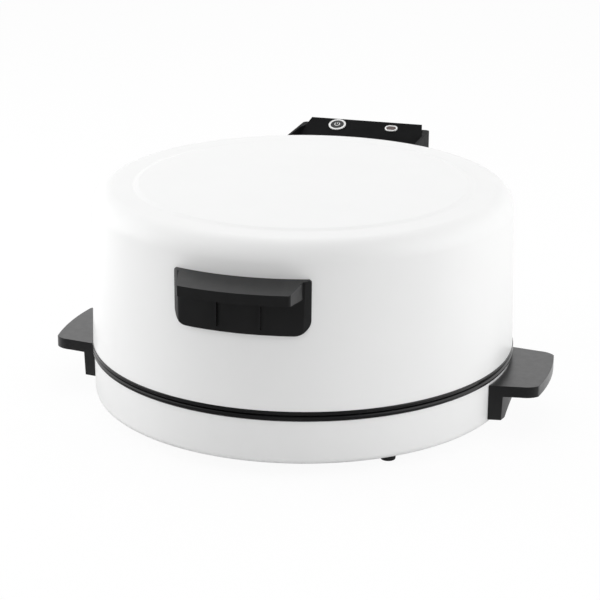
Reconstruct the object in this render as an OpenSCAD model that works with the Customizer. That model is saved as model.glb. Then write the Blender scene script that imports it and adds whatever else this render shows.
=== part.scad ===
// Round electric pizza maker: a shallow base with a baking plate and a tall domed lid on a rear hinge.
// Millimetres, +Z up, the front is -Y and the hinge is at +Y.
// The origin is in the middle of the overall footprint, on the surface that the feet stand on.
// Most shapes are written about the axis of the round body, and placed() moves them to the origin.

/* [Round body] */
// Outside diameter of the black rim, the widest round part
rim_d = 421; // [405:1:440]
// Height of each of the two black rim beads
bead_h = 5.3; // [4:0.1:6]
// Gap between the bead of the lid and the bead of the plate when closed
lid_gap = 0.3; // [0.2:0.05:0.6]

/* [Base] */
// How far the base wall stands in from the rim
base_inset = 2; // [1.2:0.1:3]
// Height of the base shell without its feet
base_h = 43.6; // [42:0.2:60]
// Sheet thickness of the base shell
base_t = 1.2; // [0.8:0.1:1.6]
// Radius of the bottom edge of the base shell
base_corner = 7; // [6:0.5:12]
// Number of cooling slots in the floor
floor_slots = 10; // [6:1:14]

/* [Feet] */
// Height of a foot below the base shell
foot_h = 11; // [9:0.5:18]
// Diameter of a foot
foot_d = 16; // [15:0.5:22]
// Distance of the feet from the axis of the body
foot_pitch_r = 183; // [172:1:186]
// Angle of the front feet from straight ahead
foot_angle = 42; // [34:1:52]

/* [Baking plate] */
// Depth of the baking surface below the rim
plate_depth = 8.3; // [7:0.1:11]
// Thickness of the plate
plate_t = 3.5; // [3:0.1:4.5]
// Width of the flange that seats on the base wall
plate_flange = 13; // [11:0.5:16]

/* [Lid] */
// How far the lid wall stands in from the rim
lid_inset = 1; // [0.9:0.1:1.4]
// Height of the lid above its rim bead
lid_h = 156.7; // [145:0.1:175]
// How much the lid wall draws in up to its shoulder
lid_draft = 3.5; // [2:0.1:5]
// Radius of the shoulder of the lid
shoulder_r = 20; // [16:0.5:24]
// Sheet thickness of the lid
lid_t = 0.8; // [0.6:0.1:1]
// Diameter of the raised middle of the lid
step_d = 328; // [280:1:336]
// Height of the raised middle of the lid
step_h = 1.6; // [0.8:0.1:2.4]

/* [Liner] */
// Space between the lid wall and the liner
liner_gap = 10; // [9:0.5:13]
// Space between the lid top and the liner
liner_top_gap = 28; // [26:0.5:32]
// Sheet thickness of the liner
liner_t = 0.8; // [0.6:0.1:1]
// Thickness of the insulation over the liner
insulation_t = 14; // [8:0.5:20]

/* [Heaters] */
// Diameter of the heater tubes
tube_d = 8; // [6.5:0.1:9]
// Radius of the lower heater loop
lower_loop_r = 140; // [125:1:145]
// Radius of the upper heater loop
upper_loop_r = 135; // [120:1:142]
// Distance between the two legs of a heater
leg_spacing = 32; // [30:1:40]
// Bend radius where a leg leaves its loop
leg_bend_r = 14; // [12:1:20]
// Distance of the upper heater below the liner
upper_drop = 17; // [15:0.5:24]

/* [Lid handle] */
// Width of the handle plate
handle_w = 129; // [118:1:135]
// Height of the handle plate
handle_plate_h = 52; // [48:0.5:56]
// Height of the bottom of the handle plate above the rim
handle_up = 72.5; // [66:0.5:80]
// Thickness of the handle plate
handle_plate_t = 4.5; // [4:0.1:6]
// Width of the grip at its front edge
grip_w = 107; // [98:1:110]
// Width of the grip at the handle plate
grip_root_w = 118; // [112:1:119]
// How far the grip stands out from the rim
grip_reach = 21.5; // [19:0.5:26]
// Height of the front edge of the grip
grip_lip_h = 10; // [8:0.5:12]
// How far the grip slopes down to its front edge
grip_fall = 7.5; // [5:0.5:9]
// Wall thickness of the grip
grip_t = 4; // [3.2:0.1:4.6]

/* [Side handles] */
// How far the side handles stand out from the rim
side_reach = 40.5; // [36:0.5:46]
// Width of a side handle at the base wall
side_w = 120; // [110:1:126]
// Width of a side handle at its outer edge
side_tip_w = 104; // [96:1:108]
// Thickness of the grip of a side handle
side_t = 11; // [9:0.5:13]
// Distance from the top of a side handle to the top of the base wall
side_down = 2.5; // [2:0.5:5]
// Thickness of the leg of a side handle at its top
side_leg_t = 13; // [11:0.5:16]
// Thickness of the leg of a side handle at its bottom
side_leg_foot_t = 12; // [9:0.5:14]

/* [Hinge] */
// Distance of the hinge axis behind the rim
hinge_back = 21.5; // [20.5:0.5:24]
// Height of the hinge axis above the bottom of the lid bead
hinge_up = 1.8; // [0.6:0.1:2]
// Distance between the two hinges
hinge_spacing = 104; // [98:1:108]
// Diameter of the hinge pins
pin_d = 8; // [6:0.5:9]
// Radial clearance of the pins in the arms of the lid
pin_fit = 0.05; // [0.03:0.01:0.08]
// Thickness of the hinge plates
hinge_t = 2; // [1.6:0.1:2.4]

/* [Rear housings] */
// How far the rear housings reach behind the rim
housing_depth = 39.5; // [38:0.5:48]
// Width of the rear housings
housing_w = 142; // [130:1:156]
// Wall thickness of the rear housings
housing_t = 2.5; // [2:0.1:3]
// Height of the bottom of the upper housing above the hinge axis
housing_up = 14; // [13:0.5:18]
// Distance from the top of the upper housing to the top of the lid
cheek_down = 2.2; // [1:0.1:8]
// Height of the lower housing
cover_h = 27; // [25:0.5:28]
// Distance of the lower housing from the surface under the feet
cover_up = 13; // [12:0.5:14]

/* [Control panel] */
// Width of the control panel
panel_w = 124; // [118:1:126]
// Slope of the control panel
panel_slope = 21.5; // [18:0.5:24]
// Height of the rear edge of the control panel above the lid top
panel_up = 3.3; // [2:0.1:5]
// Thickness of the control panel
panel_t = 2.5; // [2:0.1:3]
// Distance of the button and of the lamp from the middle
control_x = 30.3; // [26:0.1:34]
// Distance of the button and of the lamp in front of the rear edge
control_in = 10.9; // [10.5:0.1:13]
// Diameter of the button cap
button_d = 14; // [12:0.1:14.4]
// Travel of the button
button_travel = 2.5; // [1.5:0.1:2.8]
// Width of the bezel ring of the button
bezel_w = 2.2; // [1.8:0.1:2.4]
// Length of the pilot lamp
lamp_l = 14; // [12:0.1:16]
// Width of the pilot lamp
lamp_w = 10; // [8:0.1:11]

/* [Hidden] */
$fn = 96;

// Colours
paint_white = [0.95, 0.95, 0.94];
plastic_black = [0.08, 0.08, 0.09];
rim_black = [0.05, 0.05, 0.05];
coat_black = [0.12, 0.12, 0.13];
bare_steel = [0.72, 0.73, 0.75];
bright_alu = [0.82, 0.83, 0.85];
tube_steel = [0.45, 0.44, 0.42];
ceramic = [0.93, 0.91, 0.85];
wool = [0.86, 0.82, 0.66];
sleeve_grey = [0.55, 0.56, 0.58];

// Small clearances between fixed pieces
seat_gap = 0.2;
hole_gap = 0.2;
tiny = 0.01;

// Radii of the round body
rim_r = rim_d / 2;
bead_r = bead_h / 2;
bead_c = rim_r - bead_r;
base_r = rim_r - base_inset;
lid_r = rim_r - lid_inset;
lid_top_r = lid_r - lid_draft;

// Heights above the table
base_z = foot_h;
floor_z = base_z + base_t;
plate_seat_z = base_z + base_h;
plate_rim_z = plate_seat_z + bead_h;
bake_z = plate_rim_z - plate_depth;
plate_under_z = bake_z - plate_t;
trim_z = plate_rim_z + lid_gap;
trim_w = 7;
trim_groove = 2.5;
lid_z = trim_z + bead_h;
top_z = lid_z + lid_h;
shoulder_z = top_z - shoulder_r;

// Reaches of the whole object, and the axis of the round body from the origin
front_y = rim_r + grip_reach;
rear_y = rim_r + housing_depth;
side_x = rim_r + side_reach;
gland_out = 6;
axis_y = (front_y - rear_y - gland_out) / 2;

// Hinge axis
hinge_y = rim_r + hinge_back;
hinge_z = trim_z + hinge_up;
pin_r = pin_d / 2;

// Liner
liner_r = lid_r - liner_gap;
liner_top_r = lid_top_r - liner_gap;
liner_z = top_z - liner_top_gap;
liner_shoulder = 16;

// Heaters
tube_r = tube_d / 2;
lower_tube_z = plate_under_z - tube_r;
upper_tube_z = liner_z - liner_t - upper_drop;
leg_x = leg_spacing / 2;
lower_leg_y = 176;
bushing_y = lid_top_r + 2;
bushing_r = 8;
bushing_in = 15;
bushing_out = 4;
upper_leg_y = bushing_y + 8;
stud_l = 8;
// A bend is a little thinner than the legs and the loop that it runs into
bend_step = 0.05;
bend_lap = 2;

// Fasteners
screw_r = 2;
screw_head_r = 3.8;
screw_head_h = 2.4;
nut_h = 3.2;
nut_r = 4;
rivet_r = 2.2;
rivet_head_r = 4;
rivet_head_h = 1.6;

// Control panel, whose top plane falls from the rear edge to the front
ridge_z = top_z + panel_up;
cheek_z = top_z - cheek_down;
panel_flare = 30;
panel_back = 90;
panel_skirt_t = 2;
function panel_z(y) = ridge_z - (rear_y - y) * tan(panel_slope);
control_y = rear_y - control_in;
button_r = button_d / 2;
button_gap = 0.3;
barrel_bore_r = button_r + button_gap;
barrel_r = barrel_bore_r + 0.7;
bezel_r = barrel_bore_r + bezel_w;
bezel_h = 1.2;
button_cap = button_travel + 0.9;

// Board under the panel, in distances square to the panel and along it
board_w = 90;
board_front = 26;
board_back = 3.4;
board_t = 1.6;
board_down = 11;
switch_h = 3.6;
switch_gap = 0.4;
relay_h = 14;
relay_under_y = control_y - (board_front - 9) * cos(panel_slope)
    + (board_down + board_t + relay_h) * sin(panel_slope);
relay_under_z = panel_z(control_y) - (board_front - 9) * sin(panel_slope)
    - (board_down + board_t + relay_h) * cos(panel_slope) - 3;

// Lower parts inside the base
reflector_r = 186;
reflector_z = floor_z + 13.8;
reflector_t = 0.8;
reflector_rim = 8;
post_pitch_r = 168;
post_r = 5;
post_neck_r = 3.5;
post_angles = [45, 135, 225, 315];
clamp_angles = [-80, -30, 30, 80, 130, 230];
clamp_t = 1.2;
clamp_w = 12;
clamp_pitch = 22;
boss_r = 4.6;
stat_y = 60;
stat_r = 8;
stat_pad = 4;
stat_low = 5;
stat_ear_t = 1.5;
stat_screw_x = 12;
stat_pin = 5;
lead_z = reflector_z + reflector_rim + 2.2;
wire_r = 1.4;
wire_bend_r = 3.2;
lead_bend_r = 5;
lead_lap = 0.4;
lug_t = 1;
lug_tail = 6;
lug_d = base_r + hinge_t + lug_t + 0.2;
lug_seat = 0.4;
earth_angle = 9.6;
pass_r = 7.5;
pass_z = base_z + 15;

// Handles
side_corner = 19;
side_bow_r = 260;
side_top_z = plate_seat_z - side_down;
side_leg_up = 6;
side_foot_w = 14;
side_hole_l = side_leg_foot_t - 1.5;
side_screw_pitch = 70;
side_screw_z = base_z + 21;
side_wall_x = sqrt(pow(base_r - base_t, 2) - pow(side_screw_pitch / 2, 2));
grip_corner = 4;
plate_corner = 14;
plate_bevel = 6;
handle_z = lid_z + handle_up;
handle_top_z = handle_z + handle_plate_h;
handle_screw_x = 36;
handle_screw_z = handle_top_z - 11;
handle_screw_y = sqrt(pow(wall_r(handle_screw_z) - lid_t, 2) - pow(handle_screw_x, 2));
handle_rib_x = 20.5;

// Seats of heads on a curved wall
curve_seat = 1.2;
rivet_seat = 0.1;
rivet_edge = 5;
lean_seat = 0.25;

// Hinge straps that follow the walls
strap_half = 16.8;
lower_strap_z = base_z + 9;
lower_strap_top = plate_seat_z - 5;
upper_strap_z = lid_z + 13;
upper_strap_top = lid_z + 64;
ear_t = hinge_t;
arm_t = 3;
hub_r = pin_r + 3;
hub_l = 7.4;
hub_gap = 0.3;
ear_in = hub_l / 2 + hub_gap;
ear_front = 1.5;
stop_out = hub_r + 4;
stop_t = 2;
stop_down = hub_r + 1.6;
stop_root = 13;
pin_out = 1.6;

// Rear housings
cover_top_z = cover_up + cover_h;
housing_z = hinge_z + housing_up;
housing_corner = 5;
lid_clear = 0.3;
lead_r = 3;
lead_x = 14;
gland_in = 29;
gland_x = housing_w / 2 - gland_in;
gland_z = cover_up + 13;
gland_bore_r = 4;
gland_r = 6;
gland_flange_r = 9;
screw_boss_r = 5.2;
well_r = screw_head_r + 0.4;
well_in = 13.5;
upper_boss_x = 34;
upper_boss_low_z = upper_strap_z + 14;
upper_boss_high_z = shoulder_z - 14;
lower_boss_x = 22;
lower_boss_z = cover_up + 11;
earth_z = lower_boss_z + 5;
block_side_gap = 4.5;
block_boss_gap = 4.8;
block_x = -housing_w / 2 + housing_t + block_side_gap;
block_w = -lower_boss_x - screw_boss_r - block_boss_gap - block_x;
block_d = 14;
block_h = 12;
block_y = rim_r + 11;
block_top = cover_up + housing_t + block_h;
function block_way(i) = block_x + block_w * (i + 0.5) / 3;
vent_count = 4;
vent_l = 44;
vent_w = 4;
vent_pitch = 9;
vent_z = housing_z + 36;

// Places the pieces drawn about the axis of the round body
module placed() {
    translate([0, axis_y, 0]) children();
}

// A straight round rod between two points
module rod(p, q, r) {
    v = q - p;
    len = norm(v);
    translate(p)
        rotate([0, acos(v[2] / len), atan2(v[1], v[0])])
        cylinder(r = r, h = len);
}

// A bend of a lead about point p, from direction u to direction w, a little thicker than its rods
module elbow(p, u, w, r, bend_r) {
    a = acos(u * w);
    n = (w - (u * w) * u) / sin(a);
    k = cross(u, n);
    c = p - bend_r * tan(a / 2) * u + bend_r * n;
    multmatrix([
        [-n[0], u[0], k[0], c[0]],
        [-n[1], u[1], k[1], c[1]],
        [-n[2], u[2], k[2], c[2]],
        [0, 0, 0, 1]
    ])
        rotate_extrude(angle = a) translate([bend_r, 0]) circle(r + bend_step);
}

function unit(v) = v / norm(v);

// How far the rods overlap a bend at point i of a lead, and where the straight part starts
function bend_cut(points, i, bend_r) = (i == 0 || i == len(points) - 1) ? 0 :
    bend_r * tan(acos(unit(points[i] - points[i - 1]) * unit(points[i + 1] - points[i])) / 2) - lead_lap;

// A lead that runs through the given points in straight rods and round bends
module lead(points, r, bend_r) {
    last = len(points) - 1;
    for (i = [0 : last - 1]) {
        u = unit(points[i + 1] - points[i]);
        rod(points[i] + bend_cut(points, i, bend_r) * u,
            points[i + 1] - bend_cut(points, i + 1, bend_r) * u, r);
    }
    for (i = [1 : last - 1])
        elbow(points[i], unit(points[i] - points[i - 1]), unit(points[i + 1] - points[i]), r, bend_r);
}

// Outline of a shallow pan with a rounded bottom edge, from the axis to radius r
module pan_outline(r, z0, z1, corner) {
    translate([0, z0]) square([r - corner, z1 - z0]);
    translate([0, z0 + corner]) square([r, z1 - z0 - corner]);
    translate([r - corner, z0 + corner]) circle(corner);
}

// Outline of the lid as one solid, grown outwards by g and cut off below z0
module dome_outline(g, z0) {
    r_low = lid_r + g + (lid_z - z0) * lid_draft / (shoulder_z - lid_z);
    polygon([
        [0, z0],
        [r_low, z0],
        [lid_top_r + g, shoulder_z],
        [lid_top_r - shoulder_r, top_z + g],
        [0, top_z + g]
    ]);
    translate([lid_top_r - shoulder_r, shoulder_z]) circle(shoulder_r + g);
}

// Outline of the raised middle of the lid, grown outwards by g
module step_outline(g) {
    polygon([
        [0, top_z + g - tiny],
        [step_d / 2 + g + step_h, top_z + g - tiny],
        [step_d / 2 + g - step_h, top_z + step_h + g],
        [0, top_z + step_h + g]
    ]);
}

module dome_solid(g, z0) {
    rotate_extrude() dome_outline(g, z0);
}

// Radius of the outside of the lid wall at height z
function wall_r(z) = lid_r - (z - lid_z) * lid_draft / (shoulder_z - lid_z);

// A heater tube: a loop open at the rear, two bends and two legs that end at leg_y in a stud
module heater_loop(loop_r, z, leg_y) {
    c = leg_x + leg_bend_r;
    open = asin(c / (loop_r + leg_bend_r));
    bend_y = sqrt(pow(loop_r + leg_bend_r, 2) - c * c);
    translate([0, 0, z]) {
        rotate([0, 0, 90 + open])
            rotate_extrude(angle = 360 - 2 * open)
            translate([loop_r, 0]) circle(tube_r);
        for (side = [0, 1]) mirror([side, 0, 0]) {
            translate([c, bend_y, 0])
                rotate([0, 0, 180 - bend_lap])
                rotate_extrude(angle = 90 - open + 2 * bend_lap)
                translate([leg_bend_r, 0]) circle(tube_r - bend_step);
            rod([leg_x, bend_y, 0], [leg_x, leg_y, 0], tube_r);
            rod([leg_x, leg_y - 1, 0], [leg_x, leg_y + stud_l, 0], screw_r);
        }
    }
}

// A pan head screw that points along +Z from the origin, its head below
module screw(l) {
    translate([0, 0, -screw_head_h]) difference() {
        cylinder(r = screw_head_r, h = screw_head_h);
        for (a = [0, 90]) rotate([0, 0, a])
            translate([-2.4, -0.4, -tiny]) cube([4.8, 0.8, 1.2]);
    }
    cylinder(r = screw_r, h = l);
}

// A smaller screw of the same kind
module small_screw(l) {
    translate([0, 0, -2]) cylinder(r = 3, h = 2);
    translate([0, 0, -1]) cylinder(r = 1.5, h = l + 1);
}

// A rivet that points along +Z from the origin through a stack of thickness l
module rivet(l) {
    translate([0, 0, -rivet_head_h]) cylinder(r1 = rivet_head_r - 1, r2 = rivet_head_r, h = rivet_head_h);
    cylinder(r = rivet_r, h = l);
    translate([0, 0, l]) cylinder(r = rivet_head_r - 0.8, h = 1.2);
}

// Puts its children on a ring at the given angles, measured from the front towards the right
module on_ring(angles, r, z) {
    for (a = angles) rotate([0, 0, a - 90]) translate([r, 0, z]) children();
}

// A rectangle in X and Y with round corners at the rear
module housing_plan(w, y0, y1, corner) {
    translate([-w / 2, y0]) square([w, y1 - y0 - corner]);
    translate([-w / 2 + corner, y0]) square([w - 2 * corner, y1 - y0]);
    for (side = [-1, 1]) translate([side * (w / 2 - corner), y1 - corner]) circle(corner);
}

// Puts its children on the control panel at x, with +Z square to the panel
module on_panel(x) {
    translate([x, control_y, panel_z(control_y)]) rotate([panel_slope, 0, 0]) children();
}

// Extrudes an outline given in Y and Z over the width from x0 to x1
module across(x0, x1) {
    translate([x0, 0, 0]) rotate([90, 0, 90]) linear_extrude(x1 - x0) children();
}

// An oval with flat sides, l long and w wide
module oval(l, w) {
    square([l - w, w], center = true);
    for (side = [-1, 1]) translate([side * (l - w) / 2, 0]) circle(w / 2);
}

// Base

module base_shell() {
    color(paint_white) placed() difference() {
        rotate_extrude() difference() {
            pan_outline(base_r, base_z, plate_seat_z, base_corner);
            pan_outline(base_r - base_t, floor_z, plate_seat_z + 1, base_corner - base_t);
        }
        foot_places() translate([0, 0, base_z - 1]) cylinder(r = screw_r + hole_gap, h = base_t + 2);
        on_ring(post_angles, post_pitch_r, base_z - 1) cylinder(r = screw_r + hole_gap, h = base_t + 2);
        for (i = [0 : floor_slots - 1]) rotate([0, 0, (i + 0.5) * 360 / floor_slots])
            translate([80, 0, base_z - 1]) linear_extrude(base_t + 2) oval(44, 5);
        side_screw_places() cylinder(r = screw_r + hole_gap, h = 40, center = true);
        lower_rivet_places() cylinder(r = rivet_r + hole_gap, h = 20, center = true);
        lower_cover_places() cylinder(r = screw_r + hole_gap, h = 30, center = true);
        wall_pass() cylinder(r = pass_r, h = 20, center = true);
        earth_place() cylinder(r = screw_r + hole_gap, h = 10);
    }
}

module foot_places() {
    for (a = [foot_angle, -foot_angle, 180 - foot_angle, 180 + foot_angle])
        rotate([0, 0, a - 90]) translate([foot_pitch_r, 0, 0]) children();
}

module side_screw_places() {
    for (side = [-1, 1], y = [-1, 1])
        translate([side * side_wall_x, y * side_screw_pitch / 2, side_screw_z])
            rotate([0, side * 90, 0]) children();
}

// Where the hinge bracket is riveted to the base wall, with +Z outwards
module lower_rivet_places() {
    low = lower_strap_z + 8;
    high = lower_strap_top - rivet_edge;
    for (p = [[-13.5, low], [-7, high], [7, high], [13.5, low]])
        rotate([0, 0, 90 + p[0]]) translate([base_r, 0, p[1]]) rotate([0, 90, 0]) children();
}

// Where the lower housing is screwed to the base wall, with +Z towards the front
module lower_cover_places() {
    for (side = [-1, 1])
        translate([side * lower_boss_x, rim_r, lower_boss_z]) rotate([90, 0, 0]) children();
}

// Where the leads pass the base wall, with +Z towards the front
module wall_pass() {
    translate([0, base_r, pass_z]) rotate([90, 0, 0]) children();
}

module baking_plate() {
    inner_r = rim_r - plate_flange;
    color(coat_black) placed() difference() {
        union() {
            rotate_extrude() {
                polygon([
                    [0, plate_under_z],
                    [inner_r - 3, plate_under_z],
                    [inner_r + 2.5, plate_under_z + 5.5],
                    [inner_r + 2.5, plate_seat_z],
                    [bead_c, plate_seat_z],
                    [bead_c, plate_rim_z],
                    [inner_r, plate_rim_z],
                    [inner_r - 2.5, bake_z + 2],
                    [inner_r - 6, bake_z],
                    [0, bake_z]
                ]);
                translate([bead_c, plate_seat_z + bead_r]) circle(bead_r);
            }
            on_ring(post_angles, post_pitch_r, plate_under_z - 4) cylinder(r = post_r, h = 4 + tiny);
            clamp_screw_places() translate([0, 0, plate_under_z - tube_d])
                cylinder(r = boss_r, h = tube_d + tiny);
            thermostat_screw_places() translate([0, 0, plate_under_z - stat_pad])
                cylinder(r = 3.5, h = stat_pad + tiny);
        }
        on_ring(post_angles, post_pitch_r, plate_under_z - 5) cylinder(r = screw_r + hole_gap / 2, h = 6.5);
        clamp_screw_places() translate([0, 0, plate_under_z - tube_d - 1])
            cylinder(r = 1.5 + hole_gap / 2, h = 8);
        thermostat_screw_places() translate([0, 0, plate_under_z - stat_pad - 1])
            cylinder(r = 1.5 + hole_gap / 2, h = 6.4);
    }
}

module clamp_screw_places() {
    for (a = clamp_angles, s = [-1, 1])
        rotate([0, 0, a - 90]) translate([lower_loop_r + s * clamp_pitch / 2, 0, 0]) children();
}

module lower_heater() {
    color(tube_steel) placed() heater_loop(lower_loop_r, lower_tube_z, lower_leg_y);
}

module lower_heater_clamps() {
    z = plate_under_z - tube_d - clamp_t;
    color(bare_steel) placed() for (a = clamp_angles) rotate([0, 0, a - 90]) difference() {
        translate([lower_loop_r, 0, z]) linear_extrude(clamp_t) oval(clamp_pitch + clamp_w, clamp_w);
        for (s = [-1, 1]) translate([lower_loop_r + s * clamp_pitch / 2, 0, z - 1])
            cylinder(r = 1.5 + hole_gap, h = clamp_t + 2);
    }
}

module clamp_screws() {
    z = plate_under_z - tube_d - clamp_t;
    color(bare_steel) placed() clamp_screw_places() translate([0, 0, z]) small_screw(7);
}

module lower_reflector() {
    color(bright_alu) placed() difference() {
        rotate_extrude() {
            translate([0, reflector_z]) square([reflector_r, reflector_t]);
            translate([reflector_r - reflector_t, reflector_z]) square([reflector_t, reflector_rim]);
        }
        on_ring(post_angles, post_pitch_r, reflector_z - 1) cylinder(r = post_neck_r + hole_gap, h = 3);
    }
}

module plate_posts() {
    color(bare_steel) placed() on_ring(post_angles, post_pitch_r, 0) difference() {
        union() {
            translate([0, 0, floor_z]) cylinder(r = post_r, h = reflector_z - floor_z);
            translate([0, 0, floor_z]) cylinder(r = post_neck_r, h = plate_under_z - 4 - floor_z);
            translate([0, 0, floor_z]) cylinder(r = screw_r, h = plate_under_z - floor_z);
        }
        translate([0, 0, floor_z - 1]) cylinder(r = screw_r + hole_gap / 2, h = 10);
    }
}

module post_screws() {
    color(bare_steel) placed() on_ring(post_angles, post_pitch_r, base_z) screw(base_t + 7);
}

module feet() {
    color(plastic_black) placed() foot_places() difference() {
        cylinder(r1 = foot_d / 2 - 1, r2 = foot_d / 2, h = foot_h);
        translate([0, 0, -1]) cylinder(r = screw_head_r + 0.6, h = foot_h - 3);
        cylinder(r = screw_r + hole_gap, h = foot_h + 1);
    }
}

module foot_screws() {
    color(bare_steel) placed() foot_places() translate([0, 0, foot_h - 4]) screw(4 + base_t + nut_h + 1);
}

module foot_nuts() {
    color(bare_steel) placed() foot_places() translate([0, 0, floor_z]) difference() {
        cylinder(r = nut_r, h = nut_h, $fn = 6);
        translate([0, 0, -1]) cylinder(r = screw_r + hole_gap / 2, h = nut_h + 2);
    }
}

// Plan of a side handle, round at its two outer corners
module side_plan() {
    tip = side_x - side_corner;
    tip_half = side_tip_w / 2 - side_corner;
    polygon([
        [base_r - 30, -side_w / 2],
        [tip, -side_tip_w / 2],
        [side_x, -tip_half],
        [side_x, tip_half],
        [tip, side_tip_w / 2],
        [base_r - 30, side_w / 2]
    ]);
    for (s = [-1, 1]) translate([tip, s * tip_half]) circle(side_corner);
}

// A side handle on the right: a flat grip over an arched leg that hugs the base wall
module side_handle() {
    grip_z = side_top_z - side_t;
    leg_z = base_z + side_leg_up;
    arch_half = side_w / 2 - side_foot_w;
    arch_rise = grip_z - leg_z - 2;
    arch_r = (pow(arch_half, 2) + pow(arch_rise, 2)) / (2 * arch_rise);
    difference() {
        union() {
            intersection() {
                translate([0, 0, grip_z]) linear_extrude(side_t) side_plan();
                translate([side_x - side_bow_r, 0, grip_z - 1]) cylinder(r = side_bow_r, h = side_t + 2);
            }
            difference() {
                intersection() {
                    translate([0, 0, leg_z]) linear_extrude(grip_z - leg_z + 1) side_plan();
                    rotate_extrude() polygon([
                        [base_r - 30, leg_z - 1],
                        [base_r + side_leg_foot_t, leg_z - 1],
                        [base_r + side_leg_t, grip_z + 2],
                        [base_r - 30, grip_z + 2]
                    ]);
                }
                translate([base_r - 40, 0, leg_z + arch_rise - arch_r]) rotate([0, 90, 0])
                    cylinder(r = arch_r, h = 80);
            }
        }
        translate([0, 0, leg_z - 1]) cylinder(r = base_r + seat_gap, h = side_top_z + 2);
        for (y = [-1, 1]) translate([side_wall_x, y * side_screw_pitch / 2, side_screw_z])
            rotate([0, 90, 0]) cylinder(r = screw_r + hole_gap / 2, h = side_hole_l);
    }
}

module side_handle_left() {
    color(plastic_black) placed() mirror([1, 0, 0]) side_handle();
}

module side_handle_right() {
    color(plastic_black) placed() side_handle();
}

module side_handle_screws() {
    color(bare_steel) placed() side_screw_places() translate([0, 0, -curve_seat])
        screw(curve_seat + side_hole_l - 1);
}

// Hinge

// A curved plate that follows the rear wall between two heights
module strap(r_low, r_high, z0, z1, t) {
    rotate([0, 0, 90 - strap_half]) rotate_extrude(angle = 2 * strap_half) polygon([
        [r_low, z0],
        [r_low + t, z0],
        [r_high + t, z1],
        [r_high, z1]
    ]);
}

module hinge_places() {
    for (side = [-1, 1]) translate([side * hinge_spacing / 2, 0, 0]) children();
}

// A round hole or shaft along the hinge axis, centred on its own hinge
module on_hinge_axis(r, l) {
    translate([-l / 2, hinge_y, hinge_z]) rotate([0, 90, 0]) cylinder(r = r, h = l);
}

module hinge_bracket() {
    strap_r = base_r + 0.1;
    color(bare_steel) placed() difference() {
        union() {
            strap(strap_r, strap_r, lower_strap_z, lower_strap_top, hinge_t);
            hinge_places() {
                across(ear_in, ear_in + ear_t) ear_outline();
                across(-ear_in - ear_t, -ear_in) ear_outline();
                across(-ear_in - ear_t, ear_in + ear_t) stop_outline();
            }
        }
        cylinder(r = strap_r, h = plate_seat_z);
        hinge_places() on_hinge_axis(pin_r + pin_fit, 30);
        lower_rivet_places() cylinder(r = rivet_r + hole_gap, h = 20, center = true);
        lower_cover_places() cylinder(r = screw_r + hole_gap, h = 30, center = true);
        wall_pass() cylinder(r = pass_r + 3, h = 30, center = true);
        earth_place() cylinder(r = screw_r + hole_gap, h = 10);
    }
}

// Outline of an ear of the bracket, in Y and Z
module ear_outline() {
    foot_y = base_r - 10;
    polygon([
        [foot_y, lower_strap_top - 13],
        [hinge_y, lower_strap_top - 13],
        [hinge_y + stop_out + stop_t, hinge_z - 13],
        [hinge_y + stop_out + stop_t, hinge_z - stop_down],
        [hinge_y + hub_r, hinge_z - stop_down],
        [hinge_y + hub_r, hinge_z],
        [hinge_y - hub_r, hinge_z],
        [rim_r + ear_front, plate_seat_z - 2],
        [foot_y, lower_strap_top]
    ]);
    translate([hinge_y, hinge_z]) circle(hub_r);
}

// Outline of the web between two ears that stops the opened lid
module stop_outline() {
    translate([hinge_y + stop_out, hinge_z - stop_root]) square([stop_t, stop_root - stop_down]);
}

module bracket_rivets() {
    color(bare_steel) placed() lower_rivet_places()
        translate([0, 0, -base_t - rivet_seat]) rivet(base_t + hinge_t + 2 * rivet_seat);
}

module hinge_pins() {
    l = hub_l + 2 * hub_gap + 2 * ear_t;
    color(bare_steel) placed() hinge_places() {
        on_hinge_axis(pin_r, l + 2 * pin_out);
        translate([-l / 2 - pin_out - 2, 0, 0]) translate([1, 0, 0]) on_hinge_axis(pin_r + 2, 2);
    }
}

module pin_clips() {
    x = hub_l / 2 + hub_gap + ear_t + hole_gap;
    color(bare_steel) placed() hinge_places() difference() {
        translate([x + 0.5, 0, 0]) on_hinge_axis(pin_r + 2.2, 1);
        translate([x, 0, 0]) on_hinge_axis(pin_r + pin_fit, 6);
        translate([x - 1, hinge_y - 1.5, hinge_z - pin_r - 4]) cube([3, 3, 4]);
    }
}

// Lower rear housing

module rear_cover_lower() {
    z1 = cover_up + cover_h;
    color(plastic_black) placed() difference() {
        union() {
            difference() {
                translate([0, 0, cover_up]) linear_extrude(cover_h)
                    housing_plan(housing_w, base_r - 40, rear_y, housing_corner);
                translate([0, 0, cover_up + housing_t]) linear_extrude(cover_h - 2 * housing_t)
                    housing_plan(housing_w - 2 * housing_t, base_r - 41, rear_y - housing_t,
                        housing_corner - housing_t);
            }
            lower_cover_places() rotate([0, 180, 0]) cylinder(r = screw_boss_r, h = housing_depth);
        }
        translate([0, 0, cover_up - 1]) cylinder(r = base_r + lid_clear, h = cover_h + 2);
        strap(base_r - 30, base_r - 30, lower_strap_z - 1, lower_strap_top, 30 + hinge_t + lid_clear);
        lower_cover_places() rotate([0, 180, 0]) {
            cylinder(r = screw_r + hole_gap, h = housing_depth + 5);
            translate([0, 0, well_in]) cylinder(r = well_r, h = housing_depth);
        }
        hinge_places() translate([-ear_in - ear_t - 0.6, base_r - 40, z1 - housing_t - 1])
            cube([2 * (ear_in + ear_t + 0.6), hinge_back + 42 + stop_out + stop_t, housing_t + 2]);
        translate([-lead_x, hinge_y, z1 - housing_t - 1]) cylinder(r = lead_r + 1, h = housing_t + 2);
        gland_place() cylinder(r = gland_r + hole_gap / 2, h = 3 * housing_t, center = true);
    }
}

module lower_cover_screws() {
    color(bare_steel) placed() lower_cover_places() rotate([0, 180, 0])
        translate([0, 0, well_in]) rotate([180, 0, 0]) screw(well_in + 6);
}

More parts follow.
